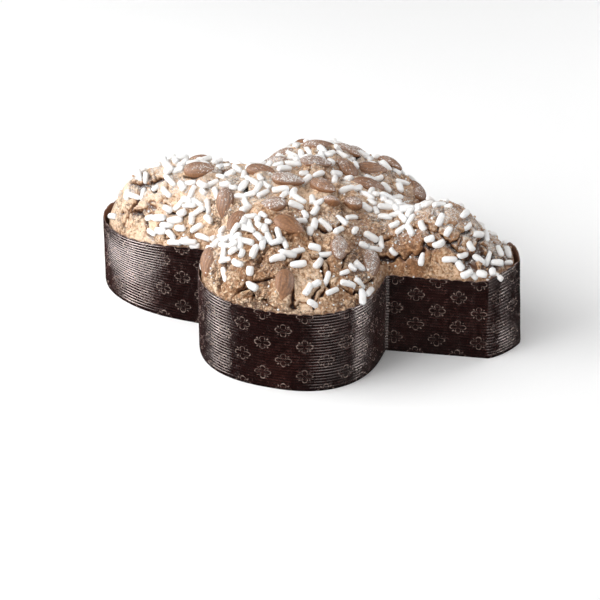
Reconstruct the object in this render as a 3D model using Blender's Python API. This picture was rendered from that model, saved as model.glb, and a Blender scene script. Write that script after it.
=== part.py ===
"""Dove-shaped Easter bread in its paper case, with whole almonds and pearl sugar on a cracked glaze.

Metres, +Z up. The origin is on the base, under the middle of the bounding box. The head points to -X,
the tail to +X and the two wings to -Y and +Y. Every outline point can be seen from the origin.
"""
import bpy
import numpy as np
from mathutils import Matrix, Vector

MM = 0.001

# Plan of the case
HALF_LENGTH = 152.5 * MM
HALF_WIDTH = 107.0 * MM
HEAD_CENTRE_X = -78.0 * MM
HEAD_HALF_WIDTH = 45.5 * MM
WING_CENTRE_X = 3.0 * MM
WING_HALF_WIDTH = 64.0 * MM
WING_ROOT_Y = 46.0 * MM
WING_SQUARENESS = 2.4
TAIL_ROOT_Y = 38.5 * MM
TAIL_CREASE_X = 136.0 * MM
TAIL_CREASE_Y = 27.0 * MM
TAIL_SQUARENESS = 1.35
TAIL_LEAN = 3.0 * MM

# Heights of the case
RIM_HEIGHT = 61.0 * MM
RIM_DIP_AT_HEAD = 7.5 * MM
RIM_RISE_AT_TAIL = 5.0 * MM
SCALLOP_HEIGHT = 1.2 * MM
SCALLOPS_PER_RUN = {"head": 11, "wing": 27, "tail": 8, "end": 4}
POINTS_PER_SCALLOP = 2
WALL = 1.2 * MM
BASE = 1.0 * MM
GAP = 0.35 * MM

# Crown of the cake
EDGE_BELOW_RIM = 2.5 * MM
SHOULDER_REACH = 19.5 * MM
TAIL_SHOULDER_REACH = 12.0 * MM
CROWN_HEIGHT = 57.0 * MM
BODY_RISE = 50.0 * MM
BODY_CENTRE_X = -58.0 * MM
BODY_REACH_X = 173.0 * MM
BODY_REACH_Y = 179.0 * MM
TAIL_RISE = 26.0 * MM
TAIL_CENTRE_X = 100.0 * MM
TAIL_REACH = 34.0 * MM
LUMP_HEIGHT = 3.2 * MM
LUMP_SIZE = 24.0 * MM
CRACK_DEPTH = 4.0 * MM
CRACK_WIDTH = 4.5 * MM
PLATE_SIZE = 27.0 * MM

# Toppings
ALMOND_LENGTH = 23.0 * MM
ALMOND_WIDTH = 13.5 * MM
ALMOND_THICKNESS = 9.0 * MM
ALMOND_SHOWN = 0.30
SOCKET_CLEARANCE = 0.45 * MM
PEARL_LENGTH = 10.5 * MM
PEARL_THICKNESS = 4.8 * MM
PEARL_SUNK = 0.35
PEARL_COUNT = 46
PEARL_SPACING = 15.0 * MM

PEARL_EDGE_MARGIN = 7.0 * MM

# Almonds laid by eye: x and y in millimetres, turn in plan and lift of the tip in degrees
ALMONDS = [
    (-14, -8, 18, 0), (-16, -36, 9, 4), (-50, -31, 84, 10), (2, -53, -16, 0), (10, -3, -29, 6),
    (20, -19, -72, 40), (33, -9, -72, 38), (33, 26, 18, 5), (13, 37, -35, 0), (36, -53, -67, 0),
    (56, -46, -58, 0), (11, -92, 108, 0), (-35, -52, 88, 0), (-35, -1, -9, 0), (-4, 23, 18, 0),
    (-12, 55, 18, 0), (5, 66, -29, 8), (27, 54, 18, 0), (33, 79, -35, 0), (57, 62, -55, 0),
    (-78, -6, 18, 0), (-46, -76, 76, 0), (-34, 39, 36, 0), (-32, 19, -16, 0), (-30, 75, 120, 0),
    (6, 90, 60, 0), (-92, 25, 150, 0),
]

# Thick patches of pearl sugar: x, y and reach in millimetres, and how likely a pearl is there
SUGAR_PATCHES = [
    (-75, 8, 34, 0.75), (-33, -60, 19, 0.9), (62, 10, 17, 0.7), (-12, 2, 30, 0.35), (5, 66, 34, 0.5),
]
SUGAR_ELSEWHERE = 0.22


def clear_scene():
    """Remove every object that the scene starts with."""
    for item in list(bpy.data.objects):
        bpy.data.objects.remove(item, do_unlink=True)


def even_steps(points, count):
    """The given number of even steps along a polyline, without its last point."""
    lengths = np.linalg.norm(np.diff(points, axis=0), axis=1)
    along = np.concatenate([[0.0], np.cumsum(lengths)])
    wanted = np.linspace(0.0, along[-1], count, endpoint=False)
    return np.column_stack([np.interp(wanted, along, points[:, axis]) for axis in (0, 1)])


def outline(points_per_scallop):
    """The case's outline in plan, anticlockwise from the head's tip, with its corners kept."""
    quarter = np.linspace(0.0, np.pi / 2, 60)
    half = np.linspace(0.0, np.pi, 120)
    head_reach = HALF_LENGTH + HEAD_CENTRE_X
    head_x = HEAD_CENTRE_X - head_reach * np.cos(quarter)
    neck = (WING_CENTRE_X - WING_HALF_WIDTH, -WING_ROOT_Y)
    head = np.vstack([np.column_stack([head_x, -HEAD_HALF_WIDTH * np.sin(quarter)]), neck])
    power = 2.0 / WING_SQUARENESS
    wing_x = WING_CENTRE_X - WING_HALF_WIDTH * np.sign(np.cos(half)) * np.abs(np.cos(half)) ** power
    wing_y = -WING_ROOT_Y - (HALF_WIDTH - WING_ROOT_Y) * np.abs(np.sin(half)) ** power
    tail_root = (WING_CENTRE_X + WING_HALF_WIDTH, -TAIL_ROOT_Y)
    wing = np.vstack([np.column_stack([wing_x, wing_y]), tail_root])
    crease = (TAIL_CREASE_X, -TAIL_CREASE_Y)
    tail = np.array([tail_root, crease])
    power = 2.0 / TAIL_SQUARENESS
    end_x = TAIL_CREASE_X + (HALF_LENGTH - TAIL_CREASE_X) * np.sin(quarter) ** power
    end = np.column_stack([end_x, -TAIL_CREASE_Y * np.abs(np.cos(quarter)) ** power])
    runs = {"head": head, "wing": wing, "tail": tail, "end": end}
    near = [even_steps(run, SCALLOPS_PER_RUN[name] * points_per_scallop) for name, run in runs.items()]
    tip = np.array([[HALF_LENGTH, 0.0]])
    near = np.vstack(near + [tip])
    far = (near * [1.0, -1.0])[-2:0:-1]
    return np.vstack([near, far])


def inward(points, distance):
    """A closed outline moved inward by a distance, with mitred corners."""
    before = points - np.roll(points, 1, axis=0)
    after = np.roll(points, -1, axis=0) - points
    before /= np.linalg.norm(before, axis=1)[:, None]
    after /= np.linalg.norm(after, axis=1)[:, None]
    normals = np.column_stack([-(before + after)[:, 1], (before + after)[:, 0]])
    normals /= np.linalg.norm(normals, axis=1)[:, None]
    half_angle_cosine = np.clip(-normals[:, 0] * after[:, 1] + normals[:, 1] * after[:, 0], 0.3, 1.0)
    return points + normals * (distance / half_angle_cosine)[:, None]


def ease(value):
    """Smooth step from 0 to 1."""
    value = np.clip(value, 0.0, 1.0)
    return value * value * (3.0 - 2.0 * value)


def rim_height(x):
    """Height of the case's rim, low round the head and raised at the tail's end."""
    dip = RIM_DIP_AT_HEAD * ease((-x - 60.0 * MM) / (85.0 * MM))
    rise = RIM_RISE_AT_TAIL * ease((x - 128.0 * MM) / (20.0 * MM))
    return RIM_HEIGHT - dip + rise


def lean(points, height):
    """Plan points at a height on the wall, which leans in at the tail's end."""
    share = np.clip((points[:, 0] - 110.0 * MM) / (HALF_LENGTH - 110.0 * MM), 0.0, 1.0)
    moved = points.copy()
    moved[:, 0] -= TAIL_LEAN * share * height / RIM_HEIGHT
    return moved


def edge_distance(points, border):
    """Smooth distance to the border: a ring sum of r^-6, which is the plain distance by a straight edge."""
    step = np.linalg.norm(np.roll(border, -1, axis=0) - border, axis=1)
    squared = ((points[:, None, :] - border[None, :, :]) ** 2).sum(axis=2)
    ring_sum = (step[None, :] / np.maximum(squared, 1e-9) ** 3).sum(axis=1)
    return (ring_sum / 1.178) ** -0.2


def lattice_noise(points, size, seed):
    """Seeded values from -1 to 1 on a square lattice, blended smoothly between its points."""
    values = np.random.default_rng(seed).uniform(-1.0, 1.0, (64, 64))
    scaled = points / size + 32.0
    cell = np.floor(scaled).astype(int)
    blend = ease(scaled - cell)
    x0, y0 = cell[:, 0] % 64, cell[:, 1] % 64
    x1, y1 = (x0 + 1) % 64, (y0 + 1) % 64
    low = values[x0, y0] * (1 - blend[:, 0]) + values[x1, y0] * blend[:, 0]
    high = values[x0, y1] * (1 - blend[:, 0]) + values[x1, y1] * blend[:, 0]
    return low * (1 - blend[:, 1]) + high * blend[:, 1]


def crack_depth(points):
    """Depth of the cracks between the glaze's plates, from 0 to 1.

    The plates are the cells round the points of a jittered lattice. A crack is where the two nearest
    points are almost equally far away.
    """
    rng = np.random.default_rng(31)
    steps = np.arange(-7, 8) * PLATE_SIZE
    seeds = np.array([(x, y) for x in steps for y in steps])
    seeds = seeds + rng.uniform(-0.42, 0.42, seeds.shape) * PLATE_SIZE
    bent = points + 3.5 * MM * np.column_stack([
        lattice_noise(points, 11.0 * MM, 32), lattice_noise(points, 11.0 * MM, 33)])
    reach = np.sqrt(((bent[:, None, :] - seeds[None, :, :]) ** 2).sum(axis=2))
    reach.sort(axis=1)
    open_here = ease(0.75 + 0.9 * lattice_noise(points, 38.0 * MM, 34))
    return open_here * np.exp(-((reach[:, 1] - reach[:, 0]) / CRACK_WIDTH) ** 2)


def crown_height(points, border):
    """Height of the glaze without its lumps: two broad rises that fall to the rim along the border."""
    x, y = points.T
    body = BODY_RISE * np.exp(-((x - BODY_CENTRE_X) / BODY_REACH_X) ** 2 - (y / BODY_REACH_Y) ** 2)
    tail = TAIL_RISE * np.exp(-((x - TAIL_CENTRE_X) / TAIL_REACH) ** 2)
    inner = CROWN_HEIGHT + body + tail
    edge = rim_height(x) - EDGE_BELOW_RIM
    reach = SHOULDER_REACH - (SHOULDER_REACH - TAIL_SHOULDER_REACH) * ease((x - 55.0 * MM) / (40.0 * MM))
    return inner - (inner - edge) * np.exp(-edge_distance(points, border) / reach)


def crust_height(points, border):
    """Height of the cracked and lumpy glaze over plan points."""
    lumps = LUMP_HEIGHT * lattice_noise(points, LUMP_SIZE, 21)
    lumps += 0.5 * LUMP_HEIGHT * lattice_noise(points, 0.45 * LUMP_SIZE, 22)
    fade = ease(edge_distance(points, border) / (8.0 * MM))
    return crown_height(points, border) + fade * (lumps - CRACK_DEPTH * crack_depth(points))


def inside_border(points, border, margin):
    """Whether plan points lie inside the border by a margin."""
    angles = np.arctan2(border[:, 1], border[:, 0])
    reach = np.interp(np.arctan2(points[:, 1], points[:, 0]), angles, np.hypot(*border.T), period=2 * np.pi)
    return (np.hypot(*points.T) < reach) & (edge_distance(points, border) > margin)


def surface_frame(x, y, border, reach):
    """Mean point and outward normal of the glaze round one plan point."""
    around = np.array([(x, y), (x + reach, y), (x - reach, y), (x, y + reach), (x, y - reach)])
    z = crust_height(around, border)
    normal = Vector(((z[2] - z[1]) / (2 * reach), (z[4] - z[3]) / (2 * reach), 1.0)).normalized()
    return Vector((x, y, z.mean())), normal


def lying_matrix(point, normal, turn, lift=0.0):
    """Placement of a piece whose long axis lies along the surface, turned in plan and lifted at its tip."""
    along = Vector((np.cos(turn), np.sin(turn), 0.0))
    along = (along - normal * along.dot(normal)).normalized()
    across = normal.cross(along)
    turned = Matrix((along, across, normal)).transposed().to_4x4()
    return Matrix.Translation(point) @ turned @ Matrix.Rotation(-lift, 4, "Y")


def almond_places():
    """Plan place, turn and lift of every almond."""
    return [(x * MM, y * MM, np.radians(turn), np.radians(lift)) for x, y, turn, lift in ALMONDS]


def sugar_chance(x, y):
    """How likely a pearl is to lie at a plan point, from 0 to 1."""
    chance = SUGAR_ELSEWHERE
    for patch_x, patch_y, reach, extra in SUGAR_PATCHES:
        squared = (x / MM - patch_x) ** 2 + (y / MM - patch_y) ** 2
        chance += extra * np.exp(-squared / reach ** 2)
    return chance


def clear_of_almonds(x, y, almonds):
    """Whether a pearl centred at a plan point stays clear of every almond."""
    for almond_x, almond_y, turn, _ in almonds:
        along = (x - almond_x) * np.cos(turn) + (y - almond_y) * np.sin(turn)
        across = (y - almond_y) * np.cos(turn) - (x - almond_x) * np.sin(turn)
        reach = (ALMOND_LENGTH + PEARL_LENGTH) / 2 + 1.0 * MM
        width = (ALMOND_WIDTH + PEARL_LENGTH) / 2 + 1.0 * MM
        if (along / reach) ** 2 + (across / width) ** 2 < 1.0:
            return False
    return True


def pearl_places(border, almonds):
    """Plan place, turn and size of the pearls: seeded throws, kept where sugar is likely and room is left."""
    throws = np.random.default_rng(11).uniform(size=(6000, 6))
    inside = inside_border((throws[:, :2] * 2 - 1) * (HALF_LENGTH, HALF_WIDTH), border, PEARL_EDGE_MARGIN)
    places = []
    for throw in throws[inside]:
        x, y = (throw[0] * 2 - 1) * HALF_LENGTH, (throw[1] * 2 - 1) * HALF_WIDTH
        apart = min((np.hypot(x - place[0], y - place[1]) for place in places), default=1.0)
        if throw[2] < sugar_chance(x, y) and apart > PEARL_SPACING and clear_of_almonds(x, y, almonds):
            places.append((x, y, throw[3] * 2 * np.pi, 0.85 + 0.3 * throw[4], 0.9 + 0.2 * throw[5]))
        if len(places) == PEARL_COUNT:
            break
    return places


def make_material(name, colour, roughness):
    """Plain material with one colour and roughness."""
    material = bpy.data.materials.new(name)
    material.use_nodes = True
    shader = material.node_tree.nodes["Principled BSDF"]
    shader.inputs["Base Color"].default_value = (*colour, 1.0)
    shader.inputs["Roughness"].default_value = roughness
    shader.inputs["Metallic"].default_value = 0.0
    return material


def make_object(name, vertices, faces, material):
    """Mesh object from points and faces."""
    mesh = bpy.data.meshes.new(name)
    mesh.from_pydata([tuple(map(float, vertex)) for vertex in vertices], [], faces)
    mesh.materials.append(material)
    mesh.update()
    item = bpy.data.objects.new(name, mesh)
    bpy.context.scene.collection.objects.link(item)
    return item


def ring_faces(lower, upper, count):
    """Quads from one closed ring of points up to the next, given each ring's first index."""
    following = [(k + 1) % count for k in range(count)]
    return [(lower + k, lower + following[k], upper + following[k], upper + k) for k in range(count)]


def fan_faces(ring, count, centre, upward):
    """Triangles from a closed ring of points to a centre point."""
    faces = [(ring + k, ring + (k + 1) % count, centre) for k in range(count)]
    return faces if upward else [face[::-1] for face in faces]


def make_case(material):
    """Paper case: flat base and thin wall with a scalloped rim."""
    plan = outline(POINTS_PER_SCALLOP)
    count = len(plan)
    teeth = np.tile([0.0, SCALLOP_HEIGHT], count // POINTS_PER_SCALLOP)
    rim = rim_height(plan[:, 0]) - SCALLOP_HEIGHT + teeth
    inner = inward(plan, WALL)
    rings = [
        np.column_stack([plan, np.zeros(count)]),
        np.column_stack([lean(plan, rim), rim]),
        np.column_stack([lean(inner, rim), rim]),
        np.column_stack([lean(inner, BASE), np.full(count, BASE)]),
    ]
    centres = [(0.0, 0.0, 0.0), (0.0, 0.0, BASE)]
    faces = []
    for k in range(3):
        faces += ring_faces(k * count, (k + 1) * count, count)
    faces += fan_faces(0, count, 4 * count, upward=False)
    faces += fan_faces(3 * count, count, 4 * count + 1, upward=True)
    return make_object("paper_case", np.vstack(rings + [centres]), faces, material)


def disc_grid(border, rings):
    """Plan points of a square grid wrapped onto the border, its quads, and its edge points in order.

    The grid's square ring k becomes the border scaled by k / rings and holds 8 k points.
    """
    size = 2 * rings + 1
    row, column = np.meshgrid(np.arange(-rings, rings + 1), np.arange(-rings, rings + 1), indexing="ij")
    ring = np.maximum(np.abs(row), np.abs(column))
    filled = np.maximum(ring, 1)
    side = np.select(
        [(column == -ring) & (row > -ring), (row == ring) & (column > -ring),
         (column == ring) & (row < ring)],
        [ring + row, 3 * ring + column, 5 * ring - row], 7 * ring - column) % (8 * filled)
    place = side / (8 * filled) * len(border)
    low = np.floor(place).astype(int) % len(border)
    blend = (place - np.floor(place))[..., None]
    points = border[low] * (1 - blend) + border[(low + 1) % len(border)] * blend
    points = (points * (ring / rings)[..., None]).reshape(-1, 2)
    index = np.arange(size * size).reshape(size, size)
    quads = np.stack([index[:-1, :-1], index[1:, :-1], index[1:, 1:], index[:-1, 1:]], axis=-1)
    edge = index[ring == rings]
    return points, quads.reshape(-1, 4), edge[np.argsort(side[ring == rings])]


def make_cake(material, border):
    """Cake body: cracked crown over a side that follows the case, and a flat bottom."""
    plan_points, quads, edge = disc_grid(border, len(border) // 8)
    height = crust_height(plan_points, border)
    top = np.column_stack([lean(plan_points, height), height])
    foot_height = BASE + GAP
    foot = np.column_stack([lean(border, foot_height), np.full(len(border), foot_height)])
    first = len(top)
    centre = first + len(border)
    vertices = np.vstack([top, foot, [(0.0, 0.0, foot_height)]])
    faces = [tuple(int(index) for index in quad) for quad in quads]
    for k in range(len(edge)):
        following = (k + 1) % len(edge)
        faces.append((first + k, first + following, int(edge[following]), int(edge[k])))
    faces += fan_faces(first, len(border), centre, upward=False)
    return make_object("cake", vertices, faces, material)


def bead(along, radius, half_sizes, segments):
    """Points and faces of a bead along X: rings between two poles, with a radius at each place along it."""
    angle = np.arange(segments) * 2 * np.pi / segments
    circle = np.column_stack([np.zeros(segments), np.cos(angle), np.sin(angle)])
    points = [[(along[0], 0.0, 0.0)]]
    for place, size in zip(along[1:-1], radius[1:-1]):
        points.append(circle * size + (place, 0.0, 0.0))
    points.append([(along[-1], 0.0, 0.0)])
    points = np.vstack(points) * half_sizes
    last = len(points) - 1
    faces = [(0, 1 + (k + 1) % segments, 1 + k) for k in range(segments)]
    for ring in range(len(along) - 3):
        first = 1 + ring * segments
        faces += [face[::-1] for face in ring_faces(first + segments, first, segments)]
    first = last - segments
    faces += [(first + k, first + (k + 1) % segments, last) for k in range(segments)]
    return points, faces


def almond_shape(clearance):
    """Pointed oval along X, rounder at its back, grown by a clearance on every side."""
    along = -np.cos(np.linspace(0.0, np.pi, 7))
    radius = np.sqrt(np.clip(1.0 - along ** 2, 0.0, 1.0)) * (1.0 - 0.24 * along - 0.10 * along ** 2)
    half_sizes = np.array([ALMOND_LENGTH, ALMOND_WIDTH, ALMOND_THICKNESS]) / 2 + clearance
    return bead(along, radius, half_sizes, 8)


def pearl_shape(length_scale, thickness_scale):
    """Blunt rod of pearl sugar along X."""
    thickness = PEARL_THICKNESS * thickness_scale / 2
    half_sizes = np.array([PEARL_LENGTH * length_scale / 2, thickness, thickness])
    return bead(np.array([-1.0, -0.72, 0.72, 1.0]), np.array([0.0, 1.0, 1.0, 0.0]), half_sizes, 6)


def almond_matrices(places, border):
    """Where each almond lies, with a share of its thickness above the glaze."""
    matrices = []
    for x, y, turn, lift in places:
        point, normal = surface_frame(x, y, border, 9.0 * MM)
        matrices.append(lying_matrix(point + normal * ALMOND_THICKNESS * ALMOND_SHOWN, normal, turn, lift))
    return matrices


def make_almonds(matrices, material):
    """One almond at each place."""
    points, faces = almond_shape(0.0)
    for number, matrix in enumerate(matrices, start=1):
        almond = make_object(f"almond_{number:02d}", points, faces, material)
        almond.matrix_world = matrix


def combine(cake, name, operation, pieces):
    """Join pieces to the cake, or cut them out of it, in one Boolean, and remove them."""
    group = bpy.data.collections.new(name)
    bpy.context.scene.collection.children.link(group)
    for piece in pieces:
        bpy.context.scene.collection.objects.unlink(piece)
        group.objects.link(piece)
    modifier = cake.modifiers.new(name, "BOOLEAN")
    modifier.operation = operation
    modifier.solver = "EXACT"
    modifier.operand_type = "COLLECTION"
    modifier.collection = group
    bpy.context.view_layer.update()
    evaluated = cake.evaluated_get(bpy.context.evaluated_depsgraph_get())
    mesh = bpy.data.meshes.new_from_object(evaluated)
    cake.modifiers.remove(modifier)
    old = cake.data
    cake.data = mesh
    bpy.data.meshes.remove(old)
    mesh.name = cake.name
    for piece in pieces:
        bpy.data.objects.remove(piece, do_unlink=True)
    bpy.data.collections.remove(group)


def add_pearls(cake, border, almonds, material):
    """Fuse the pearl sugar to the cake."""
    pearls = []
    for x, y, turn, length_scale, thickness_scale in pearl_places(border, almonds):
        point, normal = surface_frame(x, y, border, 3.0 * MM)
        points, faces = pearl_shape(length_scale, thickness_scale)
        pearl = make_object("pearl", points, faces, material)
        height = PEARL_THICKNESS * thickness_scale * (0.5 - PEARL_SUNK)
        pearl.matrix_world = lying_matrix(point + normal * height, normal, turn)
        pearls.append(pearl)
    combine(cake, "pearl_sugar", "UNION", pearls)


def cut_sockets(cake, matrices, material):
    """Cut the hollow that each almond sits in."""
    points, faces = almond_shape(SOCKET_CLEARANCE)
    cutters = []
    for matrix in matrices:
        cutter = make_object("socket", points, faces, material)
        cutter.matrix_world = matrix
        cutters.append(cutter)
    combine(cake, "sockets", "DIFFERENCE", cutters)


def main():
    """Build the case, the cake with its sugar and sockets, and the almonds."""
    clear_scene()
    paper = make_material("brown_paper", (0.030, 0.012, 0.009), 0.40)
    glaze = make_material("baked_glaze", (0.58, 0.36, 0.20), 0.85)
    sugar = make_material("pearl_sugar", (0.86, 0.84, 0.82), 0.60)
    skin = make_material("almond_skin", (0.42, 0.20, 0.09), 0.60)
    make_case(paper)
    border = inward(outline(POINTS_PER_SCALLOP), WALL + GAP)
    almonds = almond_places()
    matrices = almond_matrices(almonds, border)
    cake = make_cake(glaze, border)
    add_pearls(cake, border, almonds, sugar)
    cut_sockets(cake, matrices, glaze)
    make_almonds(matrices, skin)


main()
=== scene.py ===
"""Looks of a dove-shaped Easter bread: cracked almond glaze, pearl sugar, almonds and a ribbed paper case.

Everything is in metres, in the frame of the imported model: +Z up, the head to -X, the tail to +X, and the
origin on the base under the middle of the bounding box.
"""
import logging
import math
from dataclasses import dataclass
from enum import Enum
from typing import Any, Callable, Optional, Sequence, Union

import bpy
import numpy as np
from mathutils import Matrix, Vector


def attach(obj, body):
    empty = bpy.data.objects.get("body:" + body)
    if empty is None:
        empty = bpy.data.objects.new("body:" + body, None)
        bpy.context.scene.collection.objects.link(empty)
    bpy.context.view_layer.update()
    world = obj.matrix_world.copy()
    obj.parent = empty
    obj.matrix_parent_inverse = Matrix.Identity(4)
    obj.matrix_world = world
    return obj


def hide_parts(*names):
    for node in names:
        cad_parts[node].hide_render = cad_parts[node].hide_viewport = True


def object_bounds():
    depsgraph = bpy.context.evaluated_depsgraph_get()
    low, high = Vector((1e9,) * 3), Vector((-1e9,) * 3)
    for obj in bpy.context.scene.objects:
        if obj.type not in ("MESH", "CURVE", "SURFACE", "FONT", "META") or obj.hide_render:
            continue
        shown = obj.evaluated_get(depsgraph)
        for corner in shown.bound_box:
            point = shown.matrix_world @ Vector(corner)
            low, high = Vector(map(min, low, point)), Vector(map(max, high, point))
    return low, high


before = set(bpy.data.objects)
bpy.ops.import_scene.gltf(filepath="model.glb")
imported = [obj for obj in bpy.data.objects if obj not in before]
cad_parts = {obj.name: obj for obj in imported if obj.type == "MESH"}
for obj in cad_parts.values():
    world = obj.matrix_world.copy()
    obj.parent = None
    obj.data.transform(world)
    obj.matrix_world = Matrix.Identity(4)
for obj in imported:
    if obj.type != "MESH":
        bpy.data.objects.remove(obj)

CAD_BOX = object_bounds()
MM = 0.001
BOX_MARGIN = 0.1 * MM
FLAT_CELLS = 64         # lattice cells before each noise repeats
SOLID_CELLS = 48
JITTER_CELLS = 32
SOLID_SHIFT = 1000.37   # these shifts keep all lattice numbers above zero
CELL_SHIFT = 1000.0
PLATE_SEED = 31
STRAIGHT_EDGE_SUM = 1.178   # the integral of 1 / (1 + t^2)^3 along a straight line, 3 pi / 8
Array = np.ndarray
Colour = tuple[float, float, float]
Patches = tuple[tuple[float, float, float, float], ...]
LOG = logging.getLogger("colomba")


def ease(value: Array) -> Array:
    """Smooth step: 3t^2 - 2t^3 with t held between 0 and 1."""
    value = np.clip(value, 0.0, 1.0)
    return value * value * (3.0 - 2.0 * value)


def bell(value: Array, reach: float) -> Array:
    """A bell curve: e to the power -(value / reach)^2."""
    return np.exp(-(value / reach) ** 2)


def opened(half_width: Array, distance: Array, soft: float) -> Array:
    """A crack, from 0 to 1: open where its half width in millimetres passes the distance to its middle."""
    return ease(0.5 + (half_width * MM - distance) / (soft * MM))


def in_blocks(function: Callable[[Array], Array], points: Array, size: int = 8192) -> Array:
    """Work a function out over points in blocks, to spare memory.

    Args:
        function: takes an array of points and returns one row for each.
        points: the points, one to a row.
        size: how many points go in one block.

    Returns:
        The function's rows for all points.
    """
    pieces = [function(points[start:start + size]) for start in range(0, len(points), size)]
    return np.concatenate(pieces)


def lattice_noise(points: Array, size: float, seed: int) -> Array:
    """Flat noise: seeded values from -1 to 1 on a square lattice, blended with smooth steps.

    Args:
        points: plan points, one to a row.
        size: the lattice's pitch.
        seed: seed of the values.

    Returns:
        One value for each point.
    """
    values = np.random.default_rng(seed).uniform(-1.0, 1.0, (FLAT_CELLS, FLAT_CELLS))
    scaled = points / size + FLAT_CELLS / 2
    cell = np.floor(scaled).astype(int)
    blend = ease(scaled - cell)
    x0, y0 = (cell % FLAT_CELLS).T
    x1, y1 = (x0 + 1) % FLAT_CELLS, (y0 + 1) % FLAT_CELLS
    low = values[x0, y0] * (1 - blend[:, 0]) + values[x1, y0] * blend[:, 0]
    high = values[x0, y1] * (1 - blend[:, 0]) + values[x1, y1] * blend[:, 0]
    return low * (1 - blend[:, 1]) + high * blend[:, 1]


def solid_noise(points: Array, size: float, seed: int) -> Array:
    """Noise in space: seeded values from -1 to 1 on a cubic lattice, blended over each cube's eight corners.

    Args:
        points: points in space, one to a row.
        size: the lattice's pitch.
        seed: seed of the values.

    Returns:
        One value for each point.
    """
    values = np.random.default_rng(seed).uniform(-1.0, 1.0, (SOLID_CELLS,) * 3)
    scaled = points / size + SOLID_SHIFT
    cell = np.floor(scaled).astype(int)
    blend = ease(scaled - cell)
    total = np.zeros(len(points))
    for corner in np.ndindex(2, 2, 2):
        step = np.array(corner)
        weight = np.where(step, blend, 1.0 - blend).prod(axis=1)
        total += weight * values[tuple(((cell + step) % SOLID_CELLS).T)]
    return total


def cell_distances(points: Array, size: float, seed: int) -> tuple[Array, Array]:
    """Distances to the two nearest points of a jittered cubic lattice.

    Args:
        points: points in space, one to a row.
        size: the lattice's pitch.
        seed: seed of the jitter.

    Returns:
        The least and the second least distance for each point, in metres.
    """
    jitter = np.random.default_rng(seed).uniform(0.1, 0.9, (JITTER_CELLS,) * 3 + (3,))
    scaled = points / size + CELL_SHIFT
    cell = np.floor(scaled).astype(int)
    least = np.full(len(points), np.inf)
    second = least.copy()
    for offset in np.ndindex(3, 3, 3):
        near = cell + np.array(offset) - 1
        reach = np.linalg.norm(near + jitter[tuple((near % JITTER_CELLS).T)] - scaled, axis=1)
        second = np.minimum(second, np.maximum(reach, least))
        least = np.minimum(least, reach)
    return least * size, second * size


def kept_in_box(pieces: Array) -> Array:
    """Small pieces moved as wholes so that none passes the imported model's box.

    Args:
        pieces: for each piece, its points.

    Returns:
        The moved pieces.
    """
    low, high = (np.array(corner) for corner in CAD_BOX)
    over = np.maximum(pieces.max(axis=1) - high + BOX_MARGIN, 0.0)
    under = np.maximum(low + BOX_MARGIN - pieces.min(axis=1), 0.0)
    return pieces - over[:, None] + under[:, None]


def chance(points: Array, base: float | Array, patches: Patches) -> Array:
    """How much of something lies at plan points: a base plus a bell for each thick patch.

    Args:
        points: plan points.
        base: how much there is away from all patches.
        patches: x, y and reach in millimetres, and the bell's height.

    Returns:
        A share for each point, which may pass 1.
    """
    total = np.zeros(len(points)) + base
    for x, y, reach, extra in patches:
        squared = (points[:, 0] / MM - x) ** 2 + (points[:, 1] / MM - y) ** 2
        total += extra * np.exp(-squared / reach ** 2)
    return total


def grid_faces(rows: int, columns: int, first: int = 0, closed: bool = True) -> Array:
    """Quads between rows of points, wound so that they face right of the row direction when seen from inside.

    Args:
        rows: the number of rows.
        columns: points in a row.
        first: index of the first point.
        closed: whether each row closes on itself.

    Returns:
        Four indices for each quad.
    """
    index = first + np.arange(rows * columns).reshape(rows, columns)
    if closed:
        index = np.concatenate([index, index[:, :1]], axis=1)
    quads = np.stack([index[:-1, :-1], index[:-1, 1:], index[1:, 1:], index[1:, :-1]], axis=-1)
    return quads.reshape(-1, 4)


def fan_faces(ring: Array, centre: int, outward: bool) -> Array:
    """Triangles from a closed ring to its centre point.

    Args:
        ring: the ring's indices in order.
        centre: the centre point's index.
        outward: whether the triangles keep the ring's direction.

    Returns:
        Three indices for each triangle.
    """
    triangles = np.column_stack([ring, np.roll(ring, -1), np.full(len(ring), centre)])
    return triangles if outward else triangles[:, ::-1]


def capped_faces(rings: int, segments: int, downward: bool = False) -> tuple[Array, Array]:
    """Faces of a closed shape whose points are a pole, rings of points and the other pole.

    Args:
        rings: how many rings.
        segments: points in a ring.
        downward: whether the rings run against the direction that grid_faces takes for outward.

    Returns:
        The quads between rings and the triangles at both poles.
    """
    last = rings * segments + 1
    quads = grid_faces(rings, segments, first=1)
    head = fan_faces(np.arange(1, segments + 1), 0, downward)
    tail = fan_faces(np.arange(last - segments, last), last, not downward)
    return quads[:, ::-1] if downward else quads, np.vstack([head, tail])


def repeated(faces: Array, count: int, step: int) -> Array:
    """Faces of one shape for many copies, whose points follow each other by a step."""
    return (faces[None] + (np.arange(count) * step)[:, None, None]).reshape(-1, faces.shape[1])


def vertex_vectors(mesh: bpy.types.Mesh, name: str = "co") -> Array:
    """A mesh's vertex places or normals.

    Args:
        mesh: the mesh.
        name: co for the places, normal for the normals.

    Returns:
        One row for each vertex.
    """
    values = np.empty(len(mesh.vertices) * 3, np.float32)
    mesh.vertices.foreach_get(name, values)
    return values.reshape(-1, 3)


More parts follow.
